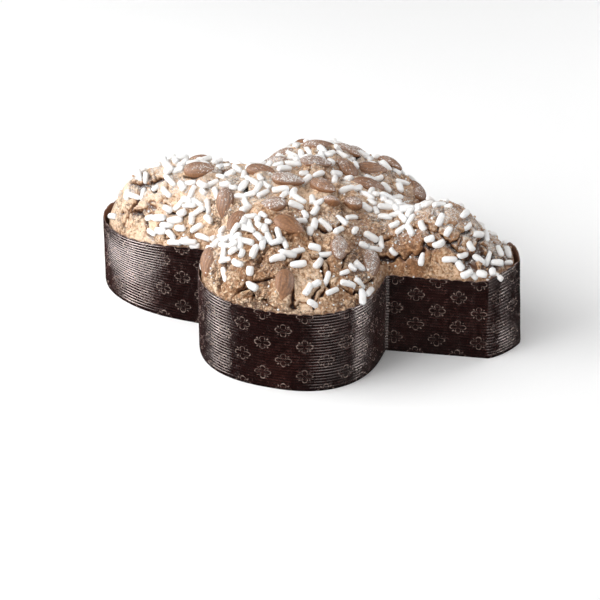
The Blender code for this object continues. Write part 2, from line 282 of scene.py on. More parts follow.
def make_mesh(
    name: str,
    points: Array,
    quads: Array,
    triangles: Optional[Array] = None,
    attributes: Optional[dict[str, Array]] = None,
    uv: Optional[Array] = None,
) -> bpy.types.Object:
    """Put arrays into a new smooth-shaded mesh object at the origin.

    Args:
        name: the object's name.
        points: the vertices.
        quads: four indices for each quad.
        triangles: three indices for each triangle.
        attributes: values for each vertex, by name.
        uv: a pair for each vertex, written to every corner that uses it.

    Returns:
        The object, linked to the scene.
    """
    triangles = np.zeros((0, 3), int) if triangles is None else triangles
    corners = np.concatenate([quads.ravel(), triangles.ravel()]).astype(np.int32)
    sizes = np.concatenate([np.full(len(quads), 4), np.full(len(triangles), 3)])
    mesh = bpy.data.meshes.new(name)
    mesh.vertices.add(len(points))
    mesh.vertices.foreach_set("co", np.ascontiguousarray(points, np.float32).ravel())
    mesh.loops.add(len(corners))
    mesh.loops.foreach_set("vertex_index", corners)
    mesh.polygons.add(len(sizes))
    starts = np.concatenate([[0], np.cumsum(sizes)[:-1]]).astype(np.int32)
    mesh.polygons.foreach_set("loop_start", starts)
    mesh.update(calc_edges=True)
    for key, values in (attributes or {}).items():
        layer = mesh.attributes.new(key, "FLOAT", "POINT")
        layer.data.foreach_set("value", np.ascontiguousarray(values, np.float32))
    if uv is not None:
        layer = mesh.uv_layers.new(name="wall")
        layer.data.foreach_set("uv", np.ascontiguousarray(uv[corners], np.float32).ravel())
    mesh.validate()
    mesh.shade_smooth()
    item = bpy.data.objects.new(name, mesh)
    bpy.context.scene.collection.objects.link(item)
    return item


@dataclass(frozen=True)
class DovePlan:
    """The case's plan: a round head, two broad wings and a narrow tail with a creased end."""

    half_length: float = 152.5 * MM
    half_width: float = 107.0 * MM
    head_centre_x: float = -78.0 * MM
    head_half_width: float = 45.5 * MM
    wing_centre_x: float = 3.0 * MM
    wing_half_width: float = 64.0 * MM
    wing_root_y: float = 46.0 * MM
    wing_squareness: float = 2.4
    tail_root_y: float = 38.5 * MM
    tail_crease_x: float = 136.0 * MM
    tail_crease_y: float = 27.0 * MM
    tail_squareness: float = 1.35
    tail_lean: float = 3.0 * MM
    lean_from_x: float = 110.0 * MM
    rim: float = 61.0 * MM
    rim_dip_at_head: float = 7.5 * MM
    dip_from_x: float = -60.0 * MM
    dip_over: float = 85.0 * MM
    rim_rise_at_tail: float = 5.0 * MM
    rise_from_x: float = 128.0 * MM
    rise_over: float = 20.0 * MM
    scallops_per_run: tuple[int, int, int, int] = (11, 27, 8, 4)

    @staticmethod
    def even_steps(points: Array, count: int) -> Array:
        """Even steps along a polyline, by arc length, without its last point.

        Args:
            points: the polyline.
            count: how many steps.

        Returns:
            The points at the start of each step.
        """
        lengths = np.linalg.norm(np.diff(points, axis=0), axis=1)
        along = np.concatenate([[0.0], np.cumsum(lengths)])
        wanted = np.linspace(0.0, along[-1], count, endpoint=False)
        return np.column_stack([np.interp(wanted, along, points[:, axis]) for axis in (0, 1)])

    def outline(self, points_per_scallop: int) -> Array:
        """The outline anticlockwise from the head's tip, with its corners kept.

        The head is half an ellipse with straight sides, each wing a superellipse, the tail a straight run to
        its crease and a quarter superellipse round its end. The far half mirrors the near one.

        Args:
            points_per_scallop: how many points each scallop of the rim gets.

        Returns:
            The closed outline's points.
        """
        quarter = np.linspace(0.0, np.pi / 2, 60)
        half = np.linspace(0.0, np.pi, 120)
        head_x = self.head_centre_x - (self.half_length + self.head_centre_x) * np.cos(quarter)
        neck = (self.wing_centre_x - self.wing_half_width, -self.wing_root_y)
        head = np.vstack([np.column_stack([head_x, -self.head_half_width * np.sin(quarter)]), neck])
        power = 2.0 / self.wing_squareness
        reach = np.sign(np.cos(half)) * np.abs(np.cos(half)) ** power
        wing_x = self.wing_centre_x - self.wing_half_width * reach
        wing_depth = self.half_width - self.wing_root_y
        wing_y = -self.wing_root_y - wing_depth * np.abs(np.sin(half)) ** power
        root = (self.wing_centre_x + self.wing_half_width, -self.tail_root_y)
        wing = np.vstack([np.column_stack([wing_x, wing_y]), root])
        tail = np.array([root, (self.tail_crease_x, -self.tail_crease_y)])
        power = 2.0 / self.tail_squareness
        end_x = self.tail_crease_x + (self.half_length - self.tail_crease_x) * np.sin(quarter) ** power
        end = np.column_stack([end_x, -self.tail_crease_y * np.abs(np.cos(quarter)) ** power])
        runs = zip((head, wing, tail, end), self.scallops_per_run)
        near = [self.even_steps(run, scallops * points_per_scallop) for run, scallops in runs]
        near = np.vstack(near + [np.array([[self.half_length, 0.0]])])
        far = (near * [1.0, -1.0])[-2:0:-1]
        return np.vstack([near, far])

    @staticmethod
    def normals(points: Array) -> tuple[Array, Array]:
        """Inward normals of a closed outline: halfway between its two sides at each point.

        Args:
            points: the closed outline.

        Returns:
            The unit normals, and the cosine of half the turn at each point.
        """
        before = points - np.roll(points, 1, axis=0)
        after = np.roll(points, -1, axis=0) - points
        before /= np.linalg.norm(before, axis=1)[:, None]
        after /= np.linalg.norm(after, axis=1)[:, None]
        normals = np.column_stack([-(before + after)[:, 1], (before + after)[:, 0]])
        normals /= np.linalg.norm(normals, axis=1)[:, None]
        cosine = np.clip(-normals[:, 0] * after[:, 1] + normals[:, 1] * after[:, 0], 0.3, 1.0)
        return normals, cosine

    def inward(self, points: Array, distance: float) -> Array:
        """A closed outline moved inward by a distance, with mitred corners."""
        normals, cosine = self.normals(points)
        return points + normals * (distance / cosine)[:, None]

    def rim_height(self, x: Array) -> Array:
        """Height of the rim: level, lower round the head and raised at the tail's end.

        Args:
            x: places along the bread.

        Returns:
            The heights.
        """
        dip = self.rim_dip_at_head * ease((self.dip_from_x - x) / self.dip_over)
        rise = self.rim_rise_at_tail * ease((x - self.rise_from_x) / self.rise_over)
        return self.rim - dip + rise

    def lean(self, points: Array, height: Array) -> Array:
        """Plan points at a height on the wall, which leans in at the tail's end.

        Args:
            points: plan points.
            height: their heights.

        Returns:
            The moved plan points.
        """
        share = np.clip((points[:, 0] - self.lean_from_x) / (self.half_length - self.lean_from_x), 0.0, 1.0)
        moved = points.copy()
        moved[:, 0] -= self.tail_lean * share * height / self.rim
        return moved


@dataclass(frozen=True)
class Crown:
    """The glaze's form: a crown that falls to the rim, with lumps and the cracks between its plates."""

    plan: DovePlan = DovePlan()
    side_gap: float = 1.55 * MM
    edge_below_rim: float = 2.5 * MM
    shoulder_reach: float = 19.5 * MM
    tail_shoulder_reach: float = 12.0 * MM
    height: float = 57.0 * MM
    body_rise: float = 50.0 * MM
    body_centre_x: float = -58.0 * MM
    body_reach_x: float = 173.0 * MM
    body_reach_y: float = 179.0 * MM
    tail_rise: float = 26.0 * MM
    tail_centre_x: float = 100.0 * MM
    tail_reach: float = 34.0 * MM
    tail_from_x: float = 55.0 * MM
    tail_over: float = 40.0 * MM
    lump_height: float = 3.2 * MM
    lump_size: float = 24.0 * MM
    plate_size: float = 27.0 * MM
    plate_jitter: float = 0.42
    bend_size: float = 11.0 * MM
    bend_reach: float = 3.5 * MM

    def border(self) -> Array:
        """The cake's own outline inside the paper."""
        return self.plan.inward(self.plan.outline(2), self.side_gap)

    def edge_distance(self, points: Array) -> Array:
        """Smooth distance to the border: the ring sum of r^-6 to the power -1/5.

        Args:
            points: plan points.

        Returns:
            The distance, which is the plain one beside a straight edge.
        """
        border = self.border()
        shares = (np.arange(5) / 5)[None, :, None]
        border = border[:, None] * (1 - shares) + np.roll(border, -1, axis=0)[:, None] * shares
        border = border.reshape(-1, 2)
        step = np.linalg.norm(np.roll(border, -1, axis=0) - border, axis=1)

        def block(some: Array) -> Array:
            """The distance for some of the points."""
            squared = ((some[:, None, :] - border[None, :, :]) ** 2).sum(axis=2)
            return ((step[None, :] / np.maximum(squared, 1e-9) ** 3).sum(axis=1) / STRAIGHT_EDGE_SUM) ** -0.2

        return in_blocks(block, points, 4096)

    def plate_seeds(self) -> Array:
        """Centres of the glaze's plates: a square lattice with seeded jitter.

        Returns:
            One plan point for each plate.
        """
        steps = np.arange(-7, 8) * self.plate_size
        seeds = np.array([(x, y) for x in steps for y in steps])
        jitter = np.random.default_rng(PLATE_SEED).uniform(-self.plate_jitter, self.plate_jitter, seeds.shape)
        return seeds + jitter * self.plate_size

    def bent(self, points: Array) -> Array:
        """Plan points moved by noise, so that the plates get wavy borders."""
        waves = [lattice_noise(points, self.bend_size, seed) for seed in (32, 33)]
        return points + self.bend_reach * np.column_stack(waves)

    def nearest_plates(self, points: Array) -> tuple[Array, Array]:
        """Distances to the two nearest plate centres, and which centres they are.

        Args:
            points: plan points.

        Returns:
            Two distances and two numbers for each point, the nearest first.
        """
        seeds = self.plate_seeds()

        def block(some: Array) -> Array:
            """Both distances and both numbers for some of the points.

            Args:
                some: the points.

            Returns:
                Four numbers for each point.
            """
            reach = np.sqrt(((some[:, None, :] - seeds[None, :, :]) ** 2).sum(axis=2))
            number = np.argpartition(reach, 1, axis=1)[:, :2]
            return np.concatenate([np.take_along_axis(reach, number, axis=1), number], axis=1)

        both = in_blocks(block, self.bent(points))
        return both[:, :2], both[:, 2:].astype(int)

    def crack_share(self, points: Array) -> Array:
        """How far the cracks are open in a place, from 0 to 1."""
        return ease(0.75 + 0.9 * lattice_noise(points, 38.0 * MM, 34))

    def smooth_height(self, points: Array, distance: Array) -> Array:
        """Height of the crown without lumps: inner height less a part that falls off from the border.

        Args:
            points: plan points.
            distance: their distance to the border.

        Returns:
            The heights.
        """
        x, y = points.T
        body = self.body_rise * np.exp(
            -((x - self.body_centre_x) / self.body_reach_x) ** 2 - (y / self.body_reach_y) ** 2)
        tail = self.tail_rise * np.exp(-((x - self.tail_centre_x) / self.tail_reach) ** 2)
        inner = self.height + body + tail
        edge = self.plan.rim_height(x) - self.edge_below_rim
        tail_share = ease((x - self.tail_from_x) / self.tail_over)
        reach = self.shoulder_reach - (self.shoulder_reach - self.tail_shoulder_reach) * tail_share
        return inner - (inner - edge) * np.exp(-distance / reach)

    def lumps(self, points: Array) -> Array:
        """Two sizes of lumps, as flat noise."""
        broad = self.lump_height * lattice_noise(points, self.lump_size, 21)
        return broad + 0.5 * self.lump_height * lattice_noise(points, 0.45 * self.lump_size, 22)


def arithmetic(operation: str, swapped: bool = False) -> Callable[..., "Value"]:
    """A method of Value that adds a Math node.

    Args:
        operation: the node's operation.
        swapped: whether the other number comes first.

    Returns:
        The method.
    """
    def method(value: "Value", *other: "Number") -> "Value":
        """The operation's result."""
        return value.graph.math(operation, *((*other, value) if swapped else (value, *other)))

    return method


class Value:
    """A socket of a shader node tree; arithmetic on it adds Math nodes."""

    def __init__(self, graph: "Graph", socket: bpy.types.NodeSocket) -> None:
        """Keep the socket and the builder of its tree."""
        self.graph = graph
        self.socket = socket

    __add__ = arithmetic("ADD")
    __sub__ = arithmetic("SUBTRACT")
    __rsub__ = arithmetic("SUBTRACT", swapped=True)
    __mul__ = arithmetic("MULTIPLY")
    __truediv__ = arithmetic("DIVIDE")
    __pow__ = arithmetic("POWER")
    __abs__ = arithmetic("ABSOLUTE")


Number = Union[Value, float]
Paint = Union[Value, Colour]
Inputs = dict[Union[str, int], Union[Value, float, tuple]]


class Graph:
    """A short way to write a shader node tree."""

    def __init__(self, tree: bpy.types.NodeTree) -> None:
        """Keep the tree that nodes are added to."""
        self.tree = tree

    def node(self, kind: str, values: Optional[Inputs] = None, **settings: Any) -> bpy.types.Node:
        """Add a node.

        Args:
            kind: the node's type name.
            values: numbers, colours or values for its inputs, by name or index.
            **settings: the node's own settings.

        Returns:
            The node.
        """
        node = self.tree.nodes.new(kind)
        for key, setting in settings.items():
            setattr(node, key, setting)
        for key, value in (values or {}).items():
            self.put(node.inputs[key], value)
        return node

    def output(self, kind: str, name: str | int, values: Optional[Inputs] = None, **settings: Any) -> Value:
        """One output of a new node."""
        return Value(self, self.node(kind, values, **settings).outputs[name])

    def put(self, socket: bpy.types.NodeSocket, value: Number | tuple) -> None:
        """Give an input a link or a plain value.

        Args:
            socket: the input.
            value: a value to link, or a number, vector or colour to set.
        """
        if isinstance(value, Value):
            self.tree.links.new(value.socket, socket)
        elif isinstance(value, tuple) and len(value) == 3 and socket.type == "RGBA":
            socket.default_value = (*value, 1.0)
        else:
            socket.default_value = value

    def math(self, operation: str, *numbers: Number, clamp: bool = False) -> Value:
        """The output of a Math node."""
        values = dict(enumerate(numbers))
        return self.output("ShaderNodeMath", 0, values, operation=operation, use_clamp=clamp)

    def layered(self, base: Paint, *layers: tuple[Number, Paint]) -> Value:
        """A colour with others laid over it.

        Args:
            base: the lowest colour.
            *layers: for each further colour, how far it covers and the colour, the lowest first.

        Returns:
            The colour of all layers.
        """
        for share, colour in layers:
            values = {0: share, 6: base, 7: colour}
            base = self.output("ShaderNodeMix", 2, values, data_type="RGBA", clamp_factor=True)
        return base

    def span(
        self, value: Number, low: float, high: float, to_low: float = 0.0, to_high: float = 1.0,
    ) -> Value:
        """A value mapped smoothly from one range to another and held inside it."""
        values = {"Value": value, "From Min": low, "From Max": high, "To Min": to_low, "To Max": to_high}
        return self.output("ShaderNodeMapRange", 0, values, interpolation_type="SMOOTHSTEP", clamp=True)

    def noise(
        self, place: Value, scale: Number, detail: float = 2.0, roughness: float = 0.5, output: str = "Fac",
    ) -> Value:
        """An output of a Noise node."""
        values = {"Vector": place, "Scale": scale, "Detail": detail, "Roughness": roughness}
        return self.output("ShaderNodeTexNoise", output, values)

    def cells(self, place: Value, scale: float) -> Value:
        """Distance to the nearest of scattered points."""
        values = {"Vector": place, "Scale": scale}
        return self.output("ShaderNodeTexVoronoi", "Distance", values, feature="F1")

    def attribute(self, name: str) -> Value:
        """The value of a vertex attribute."""
        return self.output("ShaderNodeAttribute", "Fac", attribute_name=name)

    def place(self) -> Value:
        """Object coordinates."""
        return self.output("ShaderNodeTexCoord", "Object")

    def finish(self, shader: bpy.types.Node, colour: Paint, height: Value, depth: float) -> None:
        """Give a shader its colour and relief.

        Args:
            shader: the material's shader.
            colour: the base colour.
            height: the relief.
            depth: how deep a relief of 1 is, in metres.
        """
        values = {"Height": height, "Strength": 1.0, "Distance": depth}
        self.put(shader.inputs["Base Color"], colour)
        self.put(shader.inputs["Normal"], self.output("ShaderNodeBump", "Normal", values))


def new_group(
    name: str, inputs: dict[str, float], outputs: Sequence[str],
) -> tuple[bpy.types.NodeTree, Graph, dict[str, Value], bpy.types.Node]:
    """An empty node group with number inputs and outputs, and a vector input named Place.

    Args:
        name: the group's name.
        inputs: the default of each number input, by name.
        outputs: names of the number outputs.

    Returns:
        The group, its builder, its inputs' values by name, and its output node.
    """
    group = bpy.data.node_groups.new(name, "ShaderNodeTree")
    group.interface.new_socket("Place", in_out="INPUT", socket_type="NodeSocketVector")
    for key, default in inputs.items():
        socket = group.interface.new_socket(key, in_out="INPUT", socket_type="NodeSocketFloat")
        socket.default_value = default
    for key in outputs:
        group.interface.new_socket(key, in_out="OUTPUT", socket_type="NodeSocketFloat")
    graph = Graph(group)
    given = graph.node("NodeGroupInput")
    values = {key: Value(graph, given.outputs[key]) for key in ("Place", *inputs)}
    return group, graph, values, graph.node("NodeGroupOutput")


class Effect(Enum):
    """Effects that more than one finish uses, each a node group."""

    SUGAR_DUST = "sugar_dust"
    MOTTLE = "mottle"

    def group(self) -> bpy.types.NodeTree:
        """The effect's node group, made at first use."""
        makers = {Effect.SUGAR_DUST: make_dust_group, Effect.MOTTLE: make_mottle_group}
        return bpy.data.node_groups.get(self.value) or makers[self]()

    def use(self, graph: Graph, values: Inputs) -> dict[str, Value]:
        """Put the effect's group into a material.

        Args:
            graph: the material's builder.
            values: what the group's inputs get, by name.

        Returns:
            The group's outputs, by name.
        """
        node = graph.node("ShaderNodeGroup", node_tree=self.group())
        for key, value in values.items():
            graph.put(node.inputs[key], value)
        return {output.name: Value(graph, output) for output in node.outputs}


def make_dust_group() -> bpy.types.NodeTree:
    """Fine sugar dust: grains of two sizes, kept where patchy noise plus the cover is high on top faces.

    Returns:
        The group, whose mask is 1 on a grain and small where only a film lies.
    """
    group, graph, given, result = new_group(Effect.SUGAR_DUST.value, {"Cover": 0.5}, ["Mask"])
    place = given["Place"]
    small = graph.span(graph.cells(place, 1100.0), 0.62, 0.30)
    large = graph.span(graph.cells(place, 620.0), 0.50, 0.24)
    patches = graph.noise(place, 75.0, 3.0, 0.6)
    keep = graph.noise(place, 620.0, 2.0, 0.7)
    facing = graph.output("ShaderNodeNewGeometry", "Normal")
    top = graph.span(graph.output("ShaderNodeSeparateXYZ", "Z", {0: facing}), 0.1, 0.8)
    amount = graph.math("MULTIPLY", given["Cover"] + (patches - 0.5) * 1.6, top, clamp=True)
    kept = graph.span(keep - (0.80 - amount * 0.42), -0.03, 0.06)
    film = amount ** 2.0 * 0.30
    grains = kept * graph.math("MAXIMUM", small, large)
    graph.put(result.inputs["Mask"], graph.math("MAXIMUM", grains, film, clamp=True))
    return group


def make_mottle_group() -> bpy.types.NodeTree:
    """Uneven browning: a broad and a fine noise, each about 0.5, and their mean.

    Returns:
        The group.
    """
    scales = {"Broad Scale": 30.0, "Fine Scale": 300.0}
    group, graph, given, result = new_group(Effect.MOTTLE.value, scales, ["Broad", "Fine", "Mean"])
    broad = graph.noise(given["Place"], given["Broad Scale"], 3.0, 0.6)
    fine = graph.noise(given["Place"], given["Fine Scale"], 4.0, 0.6)
    for key, value in (("Broad", broad), ("Fine", fine), ("Mean", (broad + fine) * 0.5)):
        graph.put(result.inputs[key], value)
    return group


def mottle(graph: Graph, broad_scale: float, fine_scale: float) -> dict[str, Value]:
    """The browning effect on Object coordinates, with its two scales."""
    values = {"Place": graph.place(), "Broad Scale": broad_scale, "Fine Scale": fine_scale}
    return Effect.MOTTLE.use(graph, values)


def sugar_dust(graph: Graph, cover: Value) -> Value:
    """The dust effect's mask on Object coordinates, for a cover."""
    return Effect.SUGAR_DUST.use(graph, {"Place": graph.place(), "Cover": cover})["Mask"]


def new_material(name: str, constants: Inputs) -> tuple[bpy.types.Material, Graph, bpy.types.Node]:
    """A material with a plain Principled shader.

    Args:
        name: the material's name.
        constants: what is the same all over the surface, by the shader's input.

    Returns:
        The material, its builder and its shader node.
    """
    material = bpy.data.materials.new(name)
    material.use_nodes = True
    graph = Graph(material.node_tree)
    shader = material.node_tree.nodes["Principled BSDF"]
    for key, value in constants.items():
        graph.put(shader.inputs[key], value)
    return material, graph, shader


@dataclass(frozen=True)
class GlazeFinish:
    """Baked almond glaze: matte, pitted, paler on raised crumb as painted light, darker in low crumb, pits
    and gaps as painted shade, brown in its cracks with painted shade at their depth, dusted with sugar.
    """

    pale: Colour = (0.86, 0.645, 0.460)
    tan: Colour = (0.58, 0.345, 0.19)
    # this colour stands for the browner bake, and also for painted shade in low crumb, pits, gaps and along
    # crack edges
    toasted_and_shade: Colour = (0.32, 0.150, 0.066)
    # painted shade: near black for the depth of the cracks, over the dark brown of the crumb there
    crack: Colour = (0.060, 0.024, 0.014)
    crumb: Colour = (0.13, 0.060, 0.034)
    dust: Colour = (0.90, 0.88, 0.86)
    roughness: float = 0.85
    bend: float = 4.0 * MM
    depth: float = 1.1 * MM

    def marks(self, graph: Graph, place: Value) -> tuple[Value, Value, Value]:
        """Masks of what breaks up the crumb.

        Args:
            graph: the material's builder.
            place: Object coordinates.

        Returns:
            Pits, gaps between bent cells, and torn ridges where a noise is close to its middle.
        """
        pit = graph.span(graph.cells(place, 560.0), 0.36, 0.14)
        pit = pit * graph.span(graph.noise(place, 190.0), 0.48, 0.62)
        waves = graph.noise(place, 240.0, output="Color")
        values = {0: waves, 1: (self.bend,) * 3, 2: place}
        bent = graph.output("ShaderNodeVectorMath", 0, values, operation="MULTIPLY_ADD")
        crumbly = graph.span(graph.attribute("rough"), 0.1, 0.9, 0.18, 1.0)
        gap = graph.span(graph.cells(bent, 400.0), 0.36, 0.72) * crumbly
        torn = graph.span(abs(graph.noise(place, 150.0, 5.0, 0.62) - 0.5), 0.040, 0.006)
        torn = torn * graph.span(graph.noise(place, 62.0), 0.47, 0.60)
        return pit, gap, torn * graph.span(crumbly, 0.2, 0.8, 0.55, 1.0)

    def material(self) -> bpy.types.Material:
        """The glaze's material, from the crust's attributes and Object coordinates.

        Broad mottle makes it paler in places. Raised crumb is painted paler and low crumb, pits and gaps
        painted darker, as painted light and shade. The brown attribute makes it darker towards the tail,
        partly a browner bake and partly painted shade.

        Returns:
            The material.
        """
        material, graph, shader = new_material("baked_glaze", {
            "Roughness": self.roughness, "Specular IOR Level": 0.30, "Subsurface Weight": 0.05,
            "Subsurface Scale": 1.5 * MM, "Subsurface Radius": (1.0, 0.6, 0.35)})
        browning = mottle(graph, 30.0, 520.0)
        fine = browning["Fine"]
        relief, crack = graph.attribute("relief"), graph.attribute("crack")
        # painted light: raised crumb (relief) makes the tone paler; the brown attribute darkens it towards
        # the tail, partly a browner bake and partly painted shade
        tone = browning["Broad"] + relief * 0.20 + (fine - 0.5) * 1.5 - graph.attribute("brown") * 0.38
        pit, gap, torn = self.marks(graph, graph.place())
        ragged = crack + (fine - 0.5) * 0.7
        dust = sugar_dust(graph, graph.attribute("dust") + crack * 0.12)
        colour = graph.layered(
            self.tan,
            (graph.span(tone, 0.10, 0.56), self.pale),
            (graph.span(tone, 0.30, -0.05), self.toasted_and_shade),
            # painted shade: low crumb, pits and gaps are darkened where shade falls in them
            (graph.span(relief, -0.25, -1.3, 0.0, 0.7), self.toasted_and_shade),
            (pit * 0.75, self.toasted_and_shade),
            (gap * 0.66, self.toasted_and_shade),
            (torn * 0.85, self.crumb),
            # crack edges browner and crack depths near black: the crumb's own brown with painted shade at the
            # depth
            (graph.span(ragged, 0.15, 0.5), self.toasted_and_shade),
            (graph.span(ragged, 0.42, 0.85), self.crack),
            (graph.span(graph.attribute("flaked"), 0.35, 0.7), self.crumb),
            (dust * 0.92, self.dust))
        graph.finish(shader, colour, fine * 1.3 - pit - gap * 0.9 - torn * 1.1 + dust * 0.5, self.depth)
        return material


@dataclass(frozen=True)
class SugarFinish:
    """Pearl sugar: opaque white grains with a soft, slightly chalky surface."""

    white: Colour = (0.95, 0.94, 0.93)
    shade: Colour = (0.86, 0.835, 0.81)
    roughness: float = 0.5
    depth: float = 0.45 * MM

    def material(self) -> bpy.types.Material:
        """The sugar's material.

        Returns:
            The material.
        """
        material, graph, shader = new_material("pearl_sugar", {
            "Roughness": self.roughness, "Subsurface Weight": 0.35, "Subsurface Scale": 2.5 * MM,
            "Subsurface Radius": (1.0, 0.95, 0.9)})
        chalk = mottle(graph, 90.0, 750.0)
        colour = graph.layered(self.white, (graph.span(chalk["Broad"], 0.6, 0.35), self.shade))
        graph.finish(shader, colour, chalk["Fine"], self.depth)
        return material


@dataclass(frozen=True)
class AlmondFinish:
    """Almond skin: dry brown, with grooves along its length painted darker as painted shade, and sugar dust
    on top.
    """

    skin: Colour = (0.345, 0.157, 0.066)
    dark: Colour = (0.135, 0.054, 0.022)
    dust: Colour = (0.86, 0.84, 0.82)
    roughness: float = 0.62
    depth: float = 0.22 * MM

    def material(self) -> bpy.types.Material:
        """The skin's material; the groove attribute runs along each almond.

        Returns:
            The material.
        """
        material, graph, shader = new_material("almond_skin", {"Roughness": self.roughness})
        browning = mottle(graph, 22.0, 700.0)
        fine = browning["Fine"]
        groove = graph.attribute("groove")
        dust = sugar_dust(graph, graph.attribute("dust"))
        # painted shade: the skin is darker down in its grooves
        tone = browning["Broad"] * 0.6 + groove * 0.4
        colour = graph.layered(
            self.skin,
            (graph.span(tone, 0.62, 0.30), self.dark),
            (graph.span(fine, 0.60, 0.40, 0.0, 0.5), self.dark),
            (dust * 0.9, self.dust))
        graph.finish(shader, colour, groove + dust * 0.8 + fine * 0.4, self.depth)
        return material


@dataclass(frozen=True)
class PaperFinish:
    """Dark brown baking paper with a soft shine and a thin printed pattern of four-petal flowers; its rib
    grooves are painted darker as painted shade.
    """

    outside: Colour = (0.0175, 0.0032, 0.0026)
    fade: Colour = (0.046, 0.0110, 0.0082)
    # painted shade: the colour painted into the bottom of each rib groove
    groove: Colour = (0.003, 0.0011, 0.0009)
    inside: Colour = (0.20, 0.10, 0.065)
    print_colour: Colour = (0.31, 0.235, 0.20)
    roughness: float = 0.185
    sheen_tint: Colour = (1.0, 0.87, 0.83)
    depth: float = 0.14 * MM
    column_pitch: float = 14.6 * MM
    row_pitch: float = 23.5 * MM
    flower_squash: float = 1.15
    petal_reach: float = 5.6 * MM
    pip_reach: float = 5.0 * MM
    line_width: float = 0.5 * MM

    def flower_mask(self, graph: Graph) -> Value:
        """Mask of the print: lines where the distance from a lattice point equals reach times |cos 2a|^0.6.

        Args:
            graph: the material's builder.

        Returns:
            The mask, with a pip between each two petals.
        """
        uv = graph.output("ShaderNodeUVMap", "UV", uv_map="wall")
        across, up = (graph.output("ShaderNodeSeparateXYZ", axis, {0: uv}) for axis in "XY")
        column = across / self.column_pitch
        odd = graph.math("FLOORED_MODULO", graph.math("FLOOR", column), 2.0)
        row = up / self.row_pitch + odd * 0.5
        x = (graph.math("FRACT", column) - 0.5) * self.column_pitch
        y = (graph.math("FRACT", row) - 0.5) * self.row_pitch * self.flower_squash
        reach = graph.math("SQRT", x * x + y * y)
        wave = abs(graph.math("COSINE", graph.math("ARCTAN2", y, x) * 2.0))
        petal = wave ** 0.6 * self.petal_reach
        line = graph.span(abs(reach - petal), self.line_width, 0.4 * self.line_width)
        ring = graph.span(abs(reach - self.pip_reach), 0.9 * MM, 0.5 * MM)
        pips = ring * graph.span(wave, 0.22, 0.12)
        return graph.math("MAXIMUM", line, pips) * graph.span(reach, 7.0 * MM, 6.0 * MM)

    def material(self) -> bpy.types.Material:
        """The paper's material; the inside attribute marks the plain inner face.

        Returns:
            The material.
        """
        material, graph, shader = new_material(
            "brown_paper", {"Specular IOR Level": 1.0, "Specular Tint": self.sheen_tint})
        fibre = mottle(graph, 18.0, 260.0)
        fine = fibre["Fine"]
        groove, inside = graph.attribute("groove"), graph.attribute("inside")
        # the print fades at random with the fibre, and is dimmed in the rib grooves as painted shade
        print_wear_and_groove_shade = graph.span(fine, 0.35, 0.6, 0.45, 0.85) * graph.span(groove, 0.4, 1.0, 1.0, 0.45)
        colour = graph.layered(
            self.outside,
            (graph.span(fibre["Mean"], 0.45, 0.65), self.fade),
            # painted shade: the rib grooves are painted near black
            (graph.span(groove, 0.25, 0.8, 0.0, 0.85), self.groove),
            (self.flower_mask(graph) * print_wear_and_groove_shade, self.print_colour),
            (inside, self.inside))
        rough = graph.span(fine, 0.3, 0.7, self.roughness - 0.06, self.roughness + 0.10)
        graph.put(shader.inputs["Roughness"], rough + inside * 0.3)
        graph.finish(shader, colour, fine, self.depth)
        return material


@dataclass(frozen=True)
class Almond:
    """One almond's place, read from its solid in the frame."""

    node: str
    centre: Array
    axes: Array
    half_sizes: Array

    @classmethod
    def from_node(cls, node: str) -> "Almond":
        """Find an almond's centre, axes and half sizes from its solid.

        The axes are those of the points' spread. The long one is turned so that the middle of the points lies
        towards its start, the blunt end, and the shortest one so that it points up.

        Args:
            node: the solid's name.

        Returns:
            The almond.
        """
        points = np.unique(vertex_vectors(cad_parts[node].data).round(7), axis=0).astype(float)
        middle = points.mean(axis=0)
        axes = np.linalg.svd(points - middle, full_matrices=False)[2]
        along, across, up = axes
        reach = (points - middle) @ along
        ends = points[[reach.argmin(), reach.argmax()]]
        centre = ends.mean(axis=0)
        if middle @ along > centre @ along:
            along = -along
        if up[2] < 0:
            up = -up
        across = np.cross(up, along)
        frame_axes = np.array([along, across, up])
        half_sizes = np.abs((points - centre) @ frame_axes.T).max(axis=0)
        return cls(node, centre, frame_axes, half_sizes)


